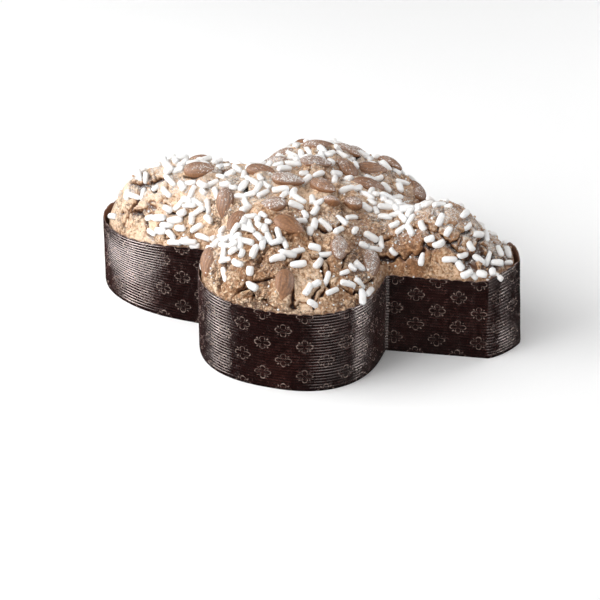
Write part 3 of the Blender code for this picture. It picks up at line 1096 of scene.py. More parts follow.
@dataclass
class AlmondTopping:
    """The whole almonds, each a finely grooved pointed oval that stands for its solid."""

    almonds: list[Almond]
    rows: int = 30
    columns: int = 40
    grooves: int = 26
    groove_depth: float = 0.13 * MM
    first_shape_seed: int = 700
    first_dust_seed: int = 40
    dusty_from_y: float = -97.0 * MM
    dusty_over: float = 50.0 * MM

    def shape(self, almond: Almond, number: int) -> tuple[Array, Array]:
        """Points of one almond over its length and girth.

        The radius over the length s is sqrt(1 - s^2) (1 - 0.24 s - 0.10 s^2), wrinkled by a sum of waves
        round the girth that fade at both ends.

        Args:
            almond: the almond's place and size.
            number: its number, which seeds its wrinkles.

        Returns:
            The points with both poles, and the groove value at each.
        """
        rng = np.random.default_rng(self.first_shape_seed + number)
        along = -np.cos(np.linspace(0.0, np.pi, self.rows + 1))[1:-1]
        angle = np.arange(self.columns) * 2 * np.pi / self.columns
        s, a = np.meshgrid(along, angle, indexing="ij")
        radius = np.sqrt(1.0 - s ** 2) * (1.0 - 0.24 * s - 0.10 * s ** 2)
        drift = 0.35 * np.sin(2.2 * s + rng.uniform(0, 6))
        wave = np.sin(self.grooves * 0.5 * (a + drift))
        wave = wave + 0.6 * np.sin(self.grooves * 0.8 * a + rng.uniform(0, 6))
        wave = wave * (1.0 - s ** 2) / 1.6
        dent = 0.05 * np.sin(a * 2 + rng.uniform(0, 6)) + 0.04 * np.sin(a * 3 + 3 * s + rng.uniform(0, 6))
        scale = radius * (0.97 - 0.03 * np.abs(dent) / 0.09) + wave * self.groove_depth / almond.half_sizes[1]
        body = np.stack([s, scale * np.cos(a), scale * np.sin(a)], axis=-1).reshape(-1, 3)
        local = np.vstack([[(-1.0, 0.0, 0.0)], body, [(1.0, 0.0, 0.0)]]) * almond.half_sizes
        groove = np.concatenate([[0.5], (0.5 + 0.5 * wave).ravel(), [0.5]])
        return local @ almond.axes + almond.centre, groove

    def build(self, material: bpy.types.Material) -> list[bpy.types.Object]:
        """One piece for each almond.

        Args:
            material: the skin.

        Returns:
            The pieces.
        """
        made = []
        for number, almond in enumerate(self.almonds, start=1):
            points, groove = self.shape(almond, number)
            quads, triangles = capped_faces(self.rows - 1, self.columns)
            far = ease((almond.centre[1] - self.dusty_from_y) / self.dusty_over)
            rng = np.random.default_rng(self.first_dust_seed + number)
            dust = rng.uniform(0.25, 0.9) * (0.3 + 0.7 * far)
            values = {"groove": groove, "dust": np.full(len(points), dust)}
            item = make_mesh(f"{almond.node}_skin", points, quads, triangles, values)
            item.data.materials.append(material)
            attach(item, "root")
            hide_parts(almond.node)
            made.append(item)
        return made


@dataclass
class GlazedCake:
    """The cake with its cracked glaze: a fine wrapped grid over the crown, closed by its side and bottom."""

    crown: Crown
    almonds: list[Almond]
    rings: int = 156
    foot: float = 1.35 * MM
    edge_bulge: float = 2.3 * MM
    stand_off: float = 3.2 * MM
    crack_depth: float = 3.8 * MM
    plate_lift: float = 0.7 * MM
    plate_tilt: float = 0.05
    plate_curl: float = 0.6 * MM
    small_crack_depth: float = 1.5 * MM
    flake_depth: float = 2.2 * MM
    edge_fade: float = 5.0 * MM
    clump_size: float = 6.8 * MM
    small_clump_size: float = 3.3 * MM
    stand_off_places: tuple[tuple[float, float, float], ...] = (
        (-150.0, -8.0, 22.0), (-60.0, -60.0, 15.0), (148.0, 4.0, 20.0), (-30.0, 100.0, 25.0))
    flakes: tuple[tuple[float, float, float], ...] = (
        (120.0, -23.0, 6.5), (135.0, -17.0, 7.0), (146.0, -8.0, 5.0), (127.0, -14.0, 4.0))
    cracked: Patches = (
        (114, -8, 26, 1.3), (-28, -82, 20, 0.8), (12, -84, 16, 0.6), (-118, -12, 16, 0.7), (64, -2, 16, 0.7))
    long_cracks: tuple[tuple[tuple[float, float], ...], ...] = (
        ((-132, -5), (-112, -16), (-106, -20)), ((-97, -28), (-82, -32), (-74, -32), (-62, -28)),
        ((-134, -20), (-112, -32), (-99, -39)), ((-92, -12), (-81, -12), (-72, -9)),
        ((-18, -99), (-14, -94), (-6, -94), (8, -88), (8, -80), (16, -69)), ((22, -81), (33, -84), (32, -93)),
        ((42, -63), (44, -45)), ((28, -62), (34, -68), (40, -74)), ((55, -27), (64, -21)),
        ((60, -33), (70, -30), (80, -29), (93, -26), (106, -21)),
        ((86, -18), (98, -24), (110, -18), (116, -8)),
        ((110, -24), (119, -24), (126, -20), (129, -14), (138, -12)), ((128, -9), (141, -17)),
        ((68, -16), (75, -8), (86, -9)), ((9, -52), (18, -52), (24, -58)), ((-20, 60), (2, 46), (20, 50)),
        ((30, 92), (38, 70), (52, 74)), ((-120, 18), (-100, 10), (-84, 20)), ((96, 14), (118, 10), (134, 16)))
    dusty: Patches = (
        (-34, -66, 20, 0.4), (-100, -20, 20, 0.3), (-60, -10, 24, 0.3), (10, -45, 16, 0.35),
        (92, -14, 20, 0.4), (120, -8, 12, 0.4), (30, -30, 18, 0.25))

    def grid(self, border: Array) -> tuple[Array, Array, Array]:
        """The square grid wrapped onto the border.

        Square ring k of the grid becomes the border scaled by t + 0.12 sin(pi t), with t = k / rings, so that
        rings lie closer together at the steep edge. It holds 8 k points.

        Args:
            border: the cake's outline.

        Returns:
            The plan points, the quads, and the edge points' indices in order.
        """
        size = 2 * self.rings + 1
        span = np.arange(-self.rings, self.rings + 1)
        row, column = np.meshgrid(span, span, indexing="ij")
        ring = np.maximum(np.abs(row), np.abs(column))
        filled = np.maximum(ring, 1)
        side = np.select(
            [(column == -ring) & (row > -ring), (row == ring) & (column > -ring),
             (column == ring) & (row < ring)],
            [ring + row, 3 * ring + column, 5 * ring - row], 7 * ring - column) % (8 * filled)
        place = side / (8 * filled) * len(border)
        low = np.floor(place).astype(int) % len(border)
        blend = (place - np.floor(place))[..., None]
        points = border[low] * (1 - blend) + border[(low + 1) % len(border)] * blend
        share = ring / self.rings
        share = share + 0.12 * np.sin(np.pi * share)
        points = (points * share[..., None]).reshape(-1, 2)
        index = np.arange(size * size).reshape(size, size)
        quads = np.stack([index[:-1, :-1], index[1:, :-1], index[1:, 1:], index[:-1, 1:]], axis=-1)
        edge = index[ring == self.rings]
        return points, quads.reshape(-1, 4), edge[np.argsort(side[ring == self.rings])]

    def near_almonds(self, points: Array) -> Array:
        """How deep a point lies within an almond's surroundings, from 0 far off to 1 at its skin.

        Args:
            points: points on the crown.

        Returns:
            One share for each point.
        """
        nearest = np.full(len(points), 9.0)
        for almond in self.almonds:
            local = (points - almond.centre) @ almond.axes.T / almond.half_sizes
            nearest = np.minimum(nearest, np.linalg.norm(local, axis=1))
        return ease((1.6 - nearest) / 0.6)

    def plate_relief(self, plan: Array) -> tuple[Array, Array]:
        """Each plate's own lift and tilt, and the distance to the border between plates.

        At a border both plates' levels count alike, so the relief has no jump. Plates curl down a little
        towards their borders.

        Args:
            plan: plan points.

        Returns:
            The relief and the distance to the nearest border.
        """
        crown = self.crown
        seeds = crown.plate_seeds()
        waves = [lattice_noise(plan, 4.6 * MM, seed) for seed in (57, 58)]
        plan = plan + 1.3 * MM * np.column_stack(waves)
        bent = crown.bent(plan)
        reach, number = crown.nearest_plates(plan)
        rng = np.random.default_rng(35)
        lift = rng.uniform(-0.6, 1.0, len(seeds)) * self.plate_lift
        tilt = rng.uniform(-1.0, 1.0, seeds.shape) * self.plate_tilt
        level = lift[number] + ((bent[:, None] - seeds[number]) * tilt[number]).sum(axis=2)
        distance = 0.5 * (reach[:, 1] - reach[:, 0])
        share = 0.5 + 0.5 * ease(distance / (1.5 * MM))
        curl = self.plate_curl * bell(distance, 3.0 * MM)
        return share * level[:, 0] + (1.0 - share) * level[:, 1] - curl, distance

    def main_cracks(self, plan: Array, points: Array, distance: Array) -> Array:
        """The long ragged cracks between plates, from 0 to 1.

        A crack is open where its half width, a sum of a broad mask and fine noise, is more than the distance
        to the plates' border.

        Args:
            plan: plan points.
            points: the same points on the crown.
            distance: their distance to the plates' border.

        Returns:
            How far each point lies inside a crack.
        """
        share = self.crown.crack_share(plan) * ease(0.55 + 1.0 * lattice_noise(plan, 24.0 * MM, 59))
        share = np.clip(chance(plan, share, self.cracked), 0.0, 1.9)
        half = share * (0.42 + 0.95 * lattice_noise(plan, 15.0 * MM, 60))
        half += 0.5 * solid_noise(points, 3.4 * MM, 61) + 0.35 * solid_noise(points, 1.8 * MM, 62)
        return opened(half, distance, 0.95) * ease(share * 2.5)

    def laid_cracks(self, plan: Array, points: Array) -> Array:
        """The listed long cracks, from 0 to 1: bent lines, as wide as a sum of two noises.

        Args:
            plan: plan points.
            points: the same points on the crown.

        Returns:
            How far each point lies inside such a crack.
        """
        waves = [lattice_noise(plan, 4.2 * MM, seed) for seed in (85, 86)]
        bent = plan + 1.6 * MM * np.column_stack(waves)
        nearest = np.full(len(plan), np.inf)
        for line in self.long_cracks:
            corners = np.array(line) * MM
            for start, end in zip(corners[:-1], corners[1:]):
                run = end - start
                share = np.clip((bent - start) @ run / (run @ run), 0.0, 1.0)
                away = np.linalg.norm(bent - start - share[:, None] * run, axis=1)
                nearest = np.minimum(nearest, away)
        half = 0.48 + 0.6 * lattice_noise(plan, 9.0 * MM, 87) + 0.45 * solid_noise(points, 2.6 * MM, 88)
        return opened(half, nearest, 0.9)

    @staticmethod
    def warped(points: Array, size: float, reach: float, seed: int) -> Array:
        """Points moved by noise in all three directions, so that cells lose their straight borders."""
        return points + reach * np.column_stack([solid_noise(points, size, seed + step) for step in range(3)])

    def small_cracks(self, points: Array) -> Array:
        """Shallow cracks round bent cells of some 14 mm, open in some stretches only, from 0 to 1.

        Args:
            points: points on the crown.

        Returns:
            How far each point lies inside such a crack.
        """
        bent = self.warped(self.warped(points, 7.0 * MM, 2.6 * MM, 63), 2.6 * MM, 0.9 * MM, 163)
        least, second = cell_distances(bent, 14.0 * MM, 66)
        half = -0.12 + 0.9 * solid_noise(points, 26.0 * MM, 67) + 0.65 * solid_noise(points, 3.0 * MM, 68)
        return opened(half, 0.5 * (second - least), 0.9)

    def crumb_relief(self, points: Array, rough: Array) -> Array:
        """Crumbly relief in millimetres: rounded clumps in two sizes, noise and small pits.

        A clump is 1 - exp(-gap / size) of bent cells, so that it falls off to its neighbours.

        Args:
            points: points on the crown.
            rough: how coarse the crumb is, from 0 to 1.

        Returns:
            The relief, in millimetres.
        """
        bent = self.warped(points, 3.6 * MM, 1.3 * MM, 171)
        least, second = cell_distances(bent, self.clump_size, 71)
        large = 1.0 - np.exp(-(second - least) / (1.7 * MM))
        least, second = cell_distances(bent, self.small_clump_size, 72)
        small = 1.0 - np.exp(-(second - least) / (1.0 * MM))
        keep = ease((solid_noise(points, 7.0 * MM, 75) + 0.05) / 0.25)
        holes = ease((0.95 * MM - least) / (0.55 * MM)) * keep
        noise = 0.45 * solid_noise(points, 8.0 * MM, 73) + 0.4 * solid_noise(points, 3.8 * MM, 74)
        noise += 0.5 * solid_noise(points, 1.9 * MM, 76)
        clumps = 0.45 * (large - 0.6) + 0.5 * (small - 0.6)
        return rough * clumps + (0.35 + 0.65 * rough) * noise - 0.9 * holes

    def build(self, material: bpy.types.Material) -> bpy.types.Object:
        """The crust, from its form, cracks and fine relief.

        The height is the crown's with lumps and plates. Each point is then moved along the surface's normal
        by crumb, cracks and flaked patches. Close to the border the crust bulges towards the rim, or stands
        off the paper.

        Args:
            material: the glaze.

        Returns:
            The piece.
        """
        crown = self.crown
        border = crown.border()
        plan, quads, edge = self.grid(border)
        distance = crown.edge_distance(plan)
        fade = ease(distance / self.edge_fade)
        relief, apart = self.plate_relief(plan)
        base = crown.smooth_height(plan, distance) + fade * (crown.lumps(plan) + relief)
        base[edge] = crown.plan.rim_height(plan[edge, 0]) - crown.edge_below_rim
        points = np.column_stack([plan, base])
        normal = self.grid_normals(points)
        crack = np.maximum(self.main_cracks(plan, points, apart), self.laid_cracks(plan, points))
        small = self.small_cracks(points)
        flaked = self.flaked(plan)
        # darker towards the tail: partly a browner bake, partly painted shade
        brown = self.browning(plan)
        rough = self.roughness(plan, brown)
        crumb = self.crumb_relief(points, rough)
        hug = self.near_almonds(points)
        shift = crumb * MM * (1.0 - 0.6 * flaked) - self.crack_depth * crack
        shift -= self.small_crack_depth * small
        creep = 2.2 + 1.7 * solid_noise(points, 6.0 * MM, 80)
        shift += hug * creep * MM - self.flake_depth * flaked
        points = points + normal * (fade * shift)[:, None]
        points = self.settle_edge(points, plan, distance)
        low, high = (np.array(corner) for corner in CAD_BOX)
        points = np.clip(points, low + BOX_MARGIN, high - BOX_MARGIN)
        level = np.full(len(border), self.foot)
        foot = self.match(np.column_stack([crown.plan.lean(border, level), level]), len(edge))
        first = len(points)
        centre = first + len(edge)
        every = np.vstack([points, foot, [(0.0, 0.0, self.foot)]])
        ring = first + np.arange(len(edge))
        side = np.column_stack([ring, np.roll(ring, -1), np.roll(edge, -1), edge])
        bottom = fan_faces(ring, centre, False)
        pad = len(every) - len(points)
        values = {
            "crack": np.maximum(crack, 0.7 * small) * fade,
            "relief": crumb,
            "flaked": flaked * fade,
            "brown": brown,
            "rough": rough,
            "dust": self.dusting(plan),
        }
        values = {key: np.concatenate([array, np.zeros(pad)]) for key, array in values.items()}
        item = make_mesh("cake_crust", every, np.vstack([quads, side]), bottom, values)
        item.data.materials.append(material)
        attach(item, "root")
        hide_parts("cake")
        return item

    def settle_edge(self, points: Array, plan: Array, distance: Array) -> Array:
        """Move the crust out towards the rim in lobes that stay inside it, or in where it stands off it.

        Args:
            points: points on the crust.
            plan: the plan points they came from.
            distance: their distance to the border.

        Returns:
            The moved points, leaning with the wall.
        """
        away = plan / np.maximum(np.linalg.norm(plan, axis=1), 1e-6)[:, None]
        band = np.clip((distance - 0.8 * MM) / (1.4 * MM), 0.0, 1.0) * bell(distance, 6.5 * MM)
        wavy = 0.45 + 0.6 * lattice_noise(plan, 13.0 * MM, 78) + 0.35 * lattice_noise(plan, 5.0 * MM, 79)
        out = self.edge_bulge * band * np.clip(wavy, 0.0, 1.2)
        off = np.zeros(len(plan))
        for x, y, reach in self.stand_off_places:
            squared = (plan[:, 0] / MM - x) ** 2 + (plan[:, 1] / MM - y) ** 2
            off = np.maximum(off, np.exp(-squared / reach ** 2))
        inward = self.stand_off * off * bell(distance, 14.0 * MM)
        moved = points.copy()
        moved[:, :2] += away * (out * (1.0 - off) - inward)[:, None]
        moved[:, :2] = self.crown.plan.lean(moved[:, :2], moved[:, 2])
        return moved

    @staticmethod
    def match(points: Array, count: int) -> Array:
        """A closed ring of points read at even index steps, so that it has another count.

        Args:
            points: the ring.
            count: how many points it gets.

        Returns:
            The new ring.
        """
        place = np.arange(count) * len(points) / count
        low = np.floor(place).astype(int)
        blend = (place - low)[:, None]
        return points[low] * (1 - blend) + points[(low + 1) % len(points)] * blend

    def grid_normals(self, points: Array) -> Array:
        """Unit normals of the wrapped grid, from central differences along its rows and columns.

        Args:
            points: the grid's points.

        Returns:
            One normal for each point.
        """
        size = 2 * self.rings + 1
        cloud = points.reshape(size, size, 3)
        along = np.gradient(cloud, axis=0)
        across = np.gradient(cloud, axis=1)
        normal = np.cross(along, across).reshape(-1, 3)
        return normal / np.maximum(np.linalg.norm(normal, axis=1), 1e-12)[:, None]

    def flaked(self, plan: Array) -> Array:
        """Patches where the glaze has come off, from 0 to 1, with ragged borders.

        Args:
            plan: plan points.

        Returns:
            How far each point lies inside such a patch.
        """
        total = np.zeros(len(plan))
        wobble = 0.5 * lattice_noise(plan, 5.0 * MM, 81) + 0.3 * lattice_noise(plan, 2.4 * MM, 82)
        for x, y, reach in self.flakes:
            away = np.hypot(plan[:, 0] / MM - x, plan[:, 1] / MM - y) / reach
            total = np.maximum(total, ease((1.25 - away + wobble) / 0.5))
        return total

    @staticmethod
    def browning(plan: Array) -> Array:
        """How much darker the glaze is, from 0 to 1: little at the head, most at the tail; partly a browner
        bake, partly painted shade for light falling off away from the head.
        """
        side = 0.40 * ease((plan[:, 0] + 95.0 * MM) / (120.0 * MM)) + 0.5 * ease(plan[:, 0] / (85.0 * MM))
        return np.clip(side + 0.35 * lattice_noise(plan, 26.0 * MM, 83), 0.0, 1.0)

    @staticmethod
    def roughness(plan: Array, brown: Array) -> Array:
        """How crumbly the glaze is, from 0 to 1: most on the near wing, least where the glaze is darker."""
        near = np.exp(-((plan[:, 0] / MM + 8.0) / 48.0) ** 2 - ((plan[:, 1] / MM + 72.0) / 40.0) ** 2)
        return ease(0.52 + 0.75 * near + 0.7 * lattice_noise(plan, 24.0 * MM, 77) - 0.35 * brown)

    def dusting(self, plan: Array) -> Array:
        """How thick the sugar dust lies, from 0 to 1: more to the far side, and in some patches.

        Args:
            plan: plan points.

        Returns:
            How thick the dust lies at each point.
        """
        far = ease((plan[:, 1] + 75.0 * MM) / (110.0 * MM))
        uneven = 0.3 * lattice_noise(plan, 26.0 * MM, 84)
        return np.clip(chance(plan, 0.16, self.dusty) + 0.56 * far + uneven, 0.0, 1.0)


@dataclass
class PearlSugar:
    """The pearl sugar: blunt white rods strewn over the glaze, thick in some patches, 420 at most.

    The first ones come from the solid's seeded throws, and all but two lie where the solid carries them. The
    others fill up closer patches between them.
    """

    crown: Crown
    almonds: list[Almond]
    crust: bpy.types.Object
    count: int = 420
    first_count: int = 46
    first_spacing: float = 15.0 * MM
    length: float = 10.5 * MM
    thickness: float = 4.8 * MM
    sunk: float = 0.27
    pile_up: float = 1.7 * MM
    edge_margin: float = 1.6 * MM
    closest: float = 3.9 * MM
    loosest: float = 7.3 * MM
    first_elsewhere: float = 0.22
    first_patches: Patches = (
        (-75, 8, 34, 0.75), (-33, -60, 19, 0.9), (62, 10, 17, 0.7), (-12, 2, 30, 0.35), (5, 66, 34, 0.5))
    elsewhere: float = 0.085
    patches: Patches = (
        (-74, -20, 13, 0.9), (-92, -10, 15, 0.5), (-112, -4, 13, 0.4), (-98, -33, 8, 0.4),
        (-80, -38, 10, 0.8), (-54, -54, 11, 0.9), (-34, -68, 13, 1.0), (-22, -60, 13, 1.0),
        (-22, -84, 9, 0.4), (-36, -18, 12, 0.8), (-38, 10, 16, 0.6), (3, -62, 9, 0.9),
        (-12, 24, 20, 0.55), (14, 42, 20, 0.55), (8, -34, 13, 0.5), (28, -26, 12, 0.35),
        (30, -72, 15, 0.3), (52, -68, 11, 0.35), (56, 16, 20, 0.8), (70, -5, 13, 0.7),
        (58, -28, 10, 0.4), (98, -14, 14, 0.2), (118, -24, 12, 0.45), (134, -8, 12, 0.2),
        (-4, 72, 30, 0.45), (-92, 26, 20, 0.5), (102, 18, 18, 0.2), (-74, -42, 9, 0.9),
        (-90, -38, 8, 0.6), (136, -20, 7, 0.9), (124, -26, 7, 0.7), (112, -28, 6, 0.6))

    def clear(self, points: Array, margin: float) -> Array:
        """Whether pearls centred at plan points stay off the almonds, by an ellipse round each.

        Args:
            points: plan points.
            margin: how far off the skin they have to be.

        Returns:
            Whether each point is clear.
        """
        free = np.ones(len(points), bool)
        for almond in self.almonds:
            heading = almond.axes[0, :2] / np.linalg.norm(almond.axes[0, :2])
            offset = points - almond.centre[:2]
            along = offset @ heading
            across = offset @ np.array([-heading[1], heading[0]])
            reach = almond.half_sizes[:2] + margin
            free &= (along / reach[0]) ** 2 + (across / reach[1]) ** 2 > 1.0
        return free

    def within(self, throws: Array, edge: float) -> Array:
        """Scale throws to the plan's box and keep those inside the border by an edge margin.

        Args:
            throws: rows that start with two numbers from 0 to 1.
            edge: the margin.

        Returns:
            The throws kept, which start with their plan place.
        """
        scale = (self.crown.plan.half_length, self.crown.plan.half_width)
        throws[:, :2] = (throws[:, :2] * 2 - 1) * scale
        border = self.crown.border()
        angles = np.arctan2(border[:, 1], border[:, 0])
        heading = np.arctan2(throws[:, 1], throws[:, 0])
        reach = np.interp(heading, angles, np.hypot(*border.T), period=2 * np.pi)
        throws = throws[np.hypot(*throws[:, :2].T) < reach]
        return throws[self.crown.edge_distance(throws[:, :2]) > edge]

    def first_throws(self) -> Array:
        """The pearls that the solid carries, two in other places: plan place and four random numbers each.

        Returns:
            One row for each pearl.
        """
        throws = np.random.default_rng(11).uniform(size=(6000, 6))
        throws = self.within(throws, 7.0 * MM)
        throws = throws[throws[:, 2] < chance(throws[:, :2], self.first_elsewhere, self.first_patches)]
        throws = throws[self.clear(throws[:, :2], self.length / 2 + 1.0 * MM)]
        return self.spread(throws, np.full(len(throws), self.first_spacing), self.first_count, [])

    def further_throws(self, first: Array) -> Array:
        """The first pearls and those that fill the patches, closer together where sugar lies thick.

        Args:
            first: the first pearls.

        Returns:
            One row for each pearl, the first ones first.
        """
        throws = self.within(np.random.default_rng(12).uniform(size=(9000, 6)), self.edge_margin)
        likely = chance(throws[:, :2], self.elsewhere, self.patches)
        good = (throws[:, 2] < likely) & self.clear(throws[:, :2], 1.5 * MM)
        loose = 1.0 - np.clip(likely, 0.0, 1.0)
        spacing = self.closest + (self.loosest - self.closest) * loose
        return self.spread(throws[good], spacing[good], self.count, list(first))

    @staticmethod
    def spread(throws: Array, spacing: Array, count: int, kept: list[Array]) -> Array:
        """Take throws in order while they keep their spacing from all before, up to a count.

        Args:
            throws: the throws.
            spacing: the spacing that each needs.
            count: how many are kept at most.
            kept: those kept before.

        Returns:
            All that are kept.
        """
        for throw, apart in zip(throws, spacing):
            places = np.array(kept)[:, :2] if kept else np.full((1, 2), 9.0)
            if len(kept) < count and np.hypot(*(places - throw[:2]).T).min() > apart:
                kept.append(throw)
        return np.array(kept)

    def ground(self, places: Array) -> tuple[Array, Array]:
        """The crust's mean plane round each plan place, by weighted least squares over its vertices.

        Args:
            places: plan points.

        Returns:
            The points on the planes and the planes' unit normals.
        """
        cloud = vertex_vectors(self.crust.data).astype(float)
        cloud = cloud[cloud[:, 2] > 40.0 * MM]

        def block(some: Array) -> Array:
            """Height and slopes of the plane at some of the places.

            Args:
                some: the places.

            Returns:
                Three numbers for each place.
            """
            offset = cloud[None, :, :2] - some[:, None, :]
            weight = np.exp(-(offset ** 2).sum(axis=2) / (2.6 * MM) ** 2)
            rows = np.concatenate([np.ones(offset.shape[:2] + (1,)), offset / MM], axis=2)
            left = np.einsum("nv,nvi,nvj->nij", weight, rows, rows) + np.eye(3) * 1e-6
            right = np.einsum("nv,nvi,v->ni", weight, rows, cloud[:, 2])
            return np.linalg.solve(left, right[..., None])[..., 0]

        plane = in_blocks(block, places, 16)
        slope = np.column_stack([-plane[:, 1] / MM, -plane[:, 2] / MM, np.ones(len(places))])
        normals = slope / np.linalg.norm(slope, axis=1)[:, None]
        return np.column_stack([places, plane[:, 0]]), normals

    def rods(self, count: int, rng: np.random.Generator, segments: int = 8) -> tuple[Array, Array, Array]:
        """Blunt rods of unit half sizes along X, each bent, tapered and dented in its own way.

        The radius over the length s is (1 - |s|^5)^(1/2.6), the middle line a parabola.

        Args:
            count: how many rods.
            rng: the source of their differences.
            segments: points in each ring.

        Returns:
            Points of each rod, with the quads and triangles of one.
        """
        along = np.array([-0.93, -0.72, -0.25, 0.25, 0.72, 0.93])
        radius = (1.0 - np.abs(along) ** 5) ** (1 / 2.6)
        angle = np.arange(segments) * 2 * np.pi / segments
        s, a = np.meshgrid(np.arange(len(along)), angle, indexing="ij")
        body = np.stack([along[s], radius[s] * np.cos(a), radius[s] * np.sin(a)], axis=-1).reshape(-1, 3)
        points = np.vstack([[(-1.0, 0.0, 0.0)], body, [(1.0, 0.0, 0.0)]])
        rods = np.repeat(points[None], count, axis=0)
        taper = 1.0 + rng.uniform(-0.16, 0.16, (count, 1)) * rods[..., 0]
        waist = 1.0 - rng.uniform(-0.06, 0.14, (count, 1)) * (1.0 - rods[..., 0] ** 2)
        rods[..., 1] *= taper * waist
        rods[..., 2] *= taper * waist
        rods[..., 1] += rng.uniform(-0.34, 0.34, (count, 1)) * (rods[..., 0] ** 2 - 0.4)
        rods[..., 0] += 0.10 * rng.uniform(-1.0, 1.0, (count, 1)) * rods[..., 2]
        return rods, *capped_faces(len(along), segments)

    def build(self, material: bpy.types.Material) -> bpy.types.Object:
        """All pearls as one piece: the rods scaled, turned and moved at once.

        Args:
            material: the sugar.

        Returns:
            The piece.
        """
        first = self.first_throws()
        pearls = self.further_throws(first)
        count = len(pearls)
        LOG.info("pearls laid: %d", count)
        rng = np.random.default_rng(13)
        early = np.arange(count) < len(first)
        length = np.where(early, 0.85 + 0.3 * pearls[:, 4], 0.55 + 0.62 * pearls[:, 4] ** 0.8)
        thick = np.where(early, 0.9 + 0.2 * pearls[:, 5], 0.82 + 0.30 * pearls[:, 5])
        ground, normal = self.ground(pearls[:, :2])
        turn = pearls[:, 3] * 2 * np.pi
        along = np.column_stack([np.cos(turn), np.sin(turn), np.zeros(count)])
        along -= normal * (along * normal).sum(axis=1)[:, None]
        along += normal * (rng.uniform(-0.28, 0.28, count) * np.where(early, 0.3, 1.0))[:, None]
        along /= np.linalg.norm(along, axis=1)[:, None]
        across = np.cross(normal, along)
        across /= np.linalg.norm(across, axis=1)[:, None]
        up = np.cross(along, across)
        lift = self.thickness * thick * (0.5 - self.sunk) + self.crowding(pearls[:, :2]) * self.pile_up
        centre = ground + normal * lift[:, None]
        rods, quads, triangles = self.rods(count, rng)
        width = self.thickness * thick
        size = np.column_stack([self.length * length, width, width * 0.95]) / 2
        axes = np.stack([along, across, up], axis=1)
        points = np.einsum("npk,nk,nkd->npd", rods, size, axes) + centre[:, None, :]
        flat = points.reshape(-1, 3)
        outward = flat - np.repeat(centre, rods.shape[1], axis=0)
        outward /= np.linalg.norm(outward, axis=1)[:, None]
        flat = flat + outward * (0.32 * MM * solid_noise(flat, 2.1 * MM, 91))[:, None]
        flat = kept_in_box(flat.reshape(points.shape)).reshape(-1, 3)
        quads, triangles = (repeated(faces, count, rods.shape[1]) for faces in (quads, triangles))
        item = make_mesh("pearl_sugar", flat, quads, triangles)
        item.data.materials.append(material)
        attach(item, "root")
        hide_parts("cake")
        return item

    @staticmethod
    def crowding(places: Array) -> Array:
        """1 for a pearl that was thrown onto two or more others, else 0.

        Args:
            places: plan points, in the order of throwing.

        Returns:
            One number for each pearl.
        """
        apart = np.linalg.norm(places[:, None] - places[None], axis=2)
        earlier = np.tril(np.ones(apart.shape, bool), -1)
        return (((apart < 6.0 * MM) & earlier).sum(axis=1) >= 2).astype(float)


class Crumb(Enum):
    """Kinds of small bits on the glaze: the start of the piece's name, count, least and greatest size, and
    seed.
    """

    SUGAR = ("sugar", 420, 0.9 * MM, 2.3 * MM, 101)
    GLAZE = ("glaze", 620, 1.1 * MM, 2.8 * MM, 102)


@dataclass
class Crumbs:
    """Bits of broken sugar and glaze, each a dented ball of three rings, on the crust's own points."""

    crust: bpy.types.Object
    rings: int = 3
    segments: int = 6
    lowest: float = 58.0 * MM

    def build(self, kind: Crumb, material: bpy.types.Material) -> bpy.types.Object:
        """All bits of one kind as one piece.

        Args:
            kind: which bits.
            material: their finish.

        Returns:
            The piece.
        """
        slot, count, small, large, seed = kind.value
        rng = np.random.default_rng(seed)
        mesh = self.crust.data
        points, normals = vertex_vectors(mesh), vertex_vectors(mesh, "normal")
        crack = np.empty(len(points), np.float32)
        mesh.attributes["crack"].data.foreach_get("value", crack)
        good = np.flatnonzero((points[:, 2] > self.lowest) & (normals[:, 2] > 0.45) & (crack < 0.4))
        chosen = rng.choice(good, count, replace=False)
        tilt = np.linspace(0.0, np.pi, self.rings + 2)[1:-1]
        angle = np.arange(self.segments) * 2 * np.pi / self.segments
        t, a = np.meshgrid(tilt, angle, indexing="ij")
        ball = np.stack([np.sin(t) * np.cos(a), np.sin(t) * np.sin(a), np.cos(t)], axis=-1)
        ball = np.vstack([[(0.0, 0.0, 1.0)], ball.reshape(-1, 3), [(0.0, 0.0, -1.0)]])
        size = rng.uniform(small, large, (count, 1)) * rng.uniform(0.6, 1.0, (count, 3)) / 2
        turn = rng.uniform(0.0, 2 * np.pi, count)
        shape = ball[None] * (1.0 + rng.uniform(-0.22, 0.22, (count, len(ball), 1))) * size[:, None, :]
        x = shape[..., 0] * np.cos(turn)[:, None] - shape[..., 1] * np.sin(turn)[:, None]
        y = shape[..., 0] * np.sin(turn)[:, None] + shape[..., 1] * np.cos(turn)[:, None]
        shape = np.stack([x, y, shape[..., 2]], axis=-1)
        place = points[chosen] + normals[chosen] * size[:, 2:3] * 0.5
        flat = kept_in_box(shape + place[:, None, :]).reshape(-1, 3)
        faces = capped_faces(self.rings, self.segments, downward=True)
        quads, triangles = (repeated(some, count, len(ball)) for some in faces)
        values = {}
        if kind is Crumb.GLAZE:
            fill = {"crack": 0.0, "relief": 0.3, "flaked": 0.0, "brown": 0.5, "rough": 0.3, "dust": 0.3}
            values = {key: np.full(len(flat), value) for key, value in fill.items()}
        item = make_mesh(f"{slot}_crumbs", flat, quads, triangles, values)
        item.data.materials.append(material)
        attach(item, "root")
        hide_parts("cake")
        return item


